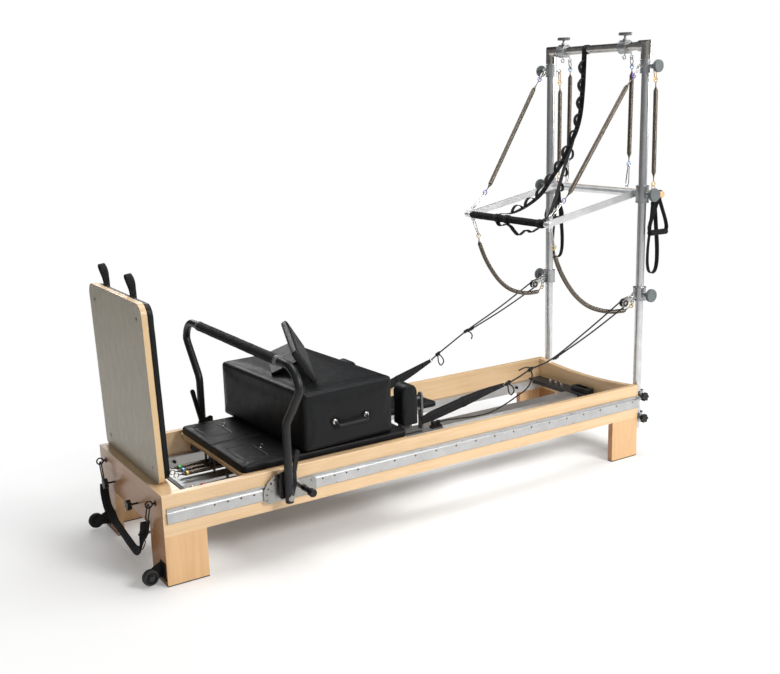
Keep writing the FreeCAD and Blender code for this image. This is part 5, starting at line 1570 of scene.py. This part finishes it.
def ladder_straps():
    ladder("ladder_strap", LADDER, strap=((-0.25, 1, 0), 0.028, 0.0030),
           loop=((0.10, 1, 0), 0.024, 0.0024), first=0.045, span=0.066, pitch=0.084,
           clear=0.10, rise=((0, 0.0028), (0.006, 0.013), (0.020, 0.024)), peak=0.028,
           outward=toward_foot)
    ladder("ladder_strap_tail", LADDER_TAIL, strap=((0.25, 1, 0.0), 0.025, 0.0028),
           loop=((0.25, 1, 0), 0.022, 0.0022), first=0.06, span=0.060, pitch=0.115,
           clear=0.12, rise=((0, 0.0028), (0.004, 0.014)), peak=0.024, outward=downward)


def turn_round(x, y, z, radius, count, width):
    """Closed turn of webbing round a cross bar."""
    angles = np.linspace(0, FULL_TURN, count, endpoint=False)
    return ribbon(places(arc(x, y, z, radius, angles)), (0, 1, 0), width, 0.0026, closed=True)


def bar_turns():
    """Turns round the top bar and the push bar, and the swag under the push bar."""
    turn = turn_round(TOWER_X, 66, TOWER_TOP, 21.2, 32, 0.026)
    ride(join("top_bar_turn", [turn]), "frame")
    parts = [turn_round(PUSH_BAR_X, y, PUSH_BAR_Z, radius, 30, 0.025)
             for y, radius in ((66, 19.2), (-240, 19.2), (-4, 19.4))]
    swag = [(676, 64, 1150), (673, 46, 1138), (672, 20, 1139), (672, -2, 1149),
            (672, -40, 1140), (671, -62, 1124), (670, -100, 1106), (671, -128, 1122),
            (672, -146, 1134), (671, -168, 1132), (670, -186, 1127), (672, -206, 1136),
            (674, -228, 1149)]
    parts.append(ribbon(path(swag, 0.005), (1, 0, 0), 0.024, 0.0026))
    ride(join("push_bar_turns", parts), "push_bar")


# ------------------------------------------------------------------ small hardware
def footbar_hardware():
    """Pivot caps and plunger barrels on the outer faces of both sides."""
    cap = [(-0.001, 0.0116), (0.0015, 0.0124), (0.0035, 0.0116), (0.0050, 0.0085),
           (0.0056, 0.001)]
    caps = [lathe(place(FOOTBAR_X, side * 436.6, 259), (0, side, 0), cap, "chrome", 24)
            for side in (-1, 1)]
    ride(join("footbar_pivot_caps", caps), "footbar")
    barrel = [(0.0, 0.0095), (0.0006, 0.0125), (0.007, 0.0125), (0.0076, 0.0100),
              (0.010, 0.0100), (0.0112, 0.0112), (0.016, 0.0114), (0.0168, 0.0104),
              (0.0176, 0.0114), (0.0225, 0.0114), (0.0233, 0.0104), (0.0241, 0.0114),
              (0.030, 0.0112), (0.0315, 0.0096), (0.0320, 0.0055)]
    for side, tag in SIDES:
        plunger = lathe(place(-652, side * 408.5, 280), (0, side, 0), barrel, "snap", 26,
                        name="plunger_barrel_" + tag)
        ride(plunger, "footbar_slider")


# ------------------------------------------------------------------ studio
def add_floor():
    bpy.ops.mesh.primitive_plane_add(size=40, location=(0, 0, -0.0005))
    floor = bpy.context.object
    floor.name = "studio_floor"
    floor.data.materials.append(floor_material())


def add_world():
    """White to the camera; the light varies with the direction round Z."""
    # share of the turn, brightness
    brightness = ((0.0, 0.26), (0.05, 0.20), (0.10, 0.80), (0.17, 1.0), (0.24, 0.60),
                  (0.30, 0.20), (0.41, 0.75), (0.50, 0.20), (0.58, 0.07), (0.76, 0.09),
                  (0.88, 0.42), (1.0, 0.26))
    world = bpy.data.worlds.new("studio")
    bpy.context.scene.world = world
    world.use_nodes = True
    tree = Nodes(world.node_tree)
    output = tree.node("OutputWorld")
    mix = tree.node("MixShader")
    rays = tree.node("LightPath")
    ambient = tree.node("Background")
    backdrop = tree.node("Background")
    # the ramp linked below takes the place of the ambient colour
    for node, color, strength in ((ambient, (0.95, 0.97, 1.0, 1), 0.46),
                                  (backdrop, (1, 1, 1, 1), 1.0)):
        node.inputs["Color"].default_value = color
        node.inputs["Strength"].default_value = strength
    coords = tree.node("TexCoord")
    gradient = tree.node("TexGradient", gradient_type="RADIAL")
    tree.link(coords.outputs["Generated"], gradient.inputs[0])
    tree.link(tree.ramp(gradient.outputs[0], brightness), ambient.inputs[0])
    tree.link(rays.outputs["Is Camera Ray"], mix.inputs[0])
    tree.link(ambient.outputs[0], mix.inputs[1])
    tree.link(backdrop.outputs[0], mix.inputs[2])
    tree.link(mix.outputs[0], output.inputs[0])


def add_light(name, location, target, size, power, color=(1, 1, 1)):
    light = bpy.data.lights.new(name, "AREA")
    light.shape = "DISK"
    light.size = size
    light.energy = power
    light.color = color
    obj = new_object(name, light)
    obj.location = location
    obj.rotation_mode = "QUATERNION"
    obj.rotation_quaternion = (Vector(target) - Vector(location)).to_track_quat("-Z", "Y")


def add_lights():
    add_light("key", (1.9, -5.6, 4.2), (0, 0, 0.5), size=2.4, power=340, color=(1, 0.985, 0.96))
    add_light("top", (0.6, 0.4, 5.6), (0, 0, 0.4), size=4.0, power=210)
    add_light("left", (-6.0, -1.6, 3.2), (-0.8, 0, 0.9), size=1.6, power=12)
    add_light("back", (0.5, 5.2, 3.4), (0, 0, 0.9), size=2.4, power=70)
    add_light("right", (5.4, -1.5, 2.2), (0.6, 0, 0.9), size=1.6, power=80)


def add_camera():
    # the camera's right, up and backward directions
    axes = ((0.8361628574684585, -0.5480281243325197, -0.022290148738010357),
            (0.14002482399567115, 0.1739992195270952, 0.9747396166510022),
            (-0.5303062553422915, -0.8181622373004892, 0.2222292262513964))
    camera = new_object("camera", bpy.data.cameras.new("camera"))
    turn = Matrix(axes).transposed().to_4x4()
    camera.matrix_world = Matrix.Translation(place(-2372.2, -3792.1, 1748.0)) @ turn
    camera.data.sensor_width = 36.0
    camera.data.lens = 47.9012308
    camera.data.shift_x = -0.0162307692
    camera.data.shift_y = -0.00725641026
    camera.data.clip_start = 0.05
    camera.data.clip_end = 100
    bpy.context.scene.camera = camera
    bpy.context.scene.view_settings.view_transform = "Standard"


# ------------------------------------------------------------------ build
sitting_box()
carriage_pad()
headrest()
for side, tag in SIDES:
    shoulder_rest(side, tag)
jump_board()
tilted_plate()
foam_grips()
for side, tag in SIDES:
    for spring in TOWER_SPRINGS:
        tower_spring(side, tag, **spring)
carriage_springs()
for side, tag in SIDES:
    rope(side, tag, **ROPES[side])
for side, tag in SIDES:
    shoulder_strap(side, tag)
for side, tag in SIDES:
    hand_strap(side, tag)
foot_end_strap()
ladder_straps()
bar_turns()
footbar_hardware()
add_floor()
add_world()
add_lights()
add_camera()
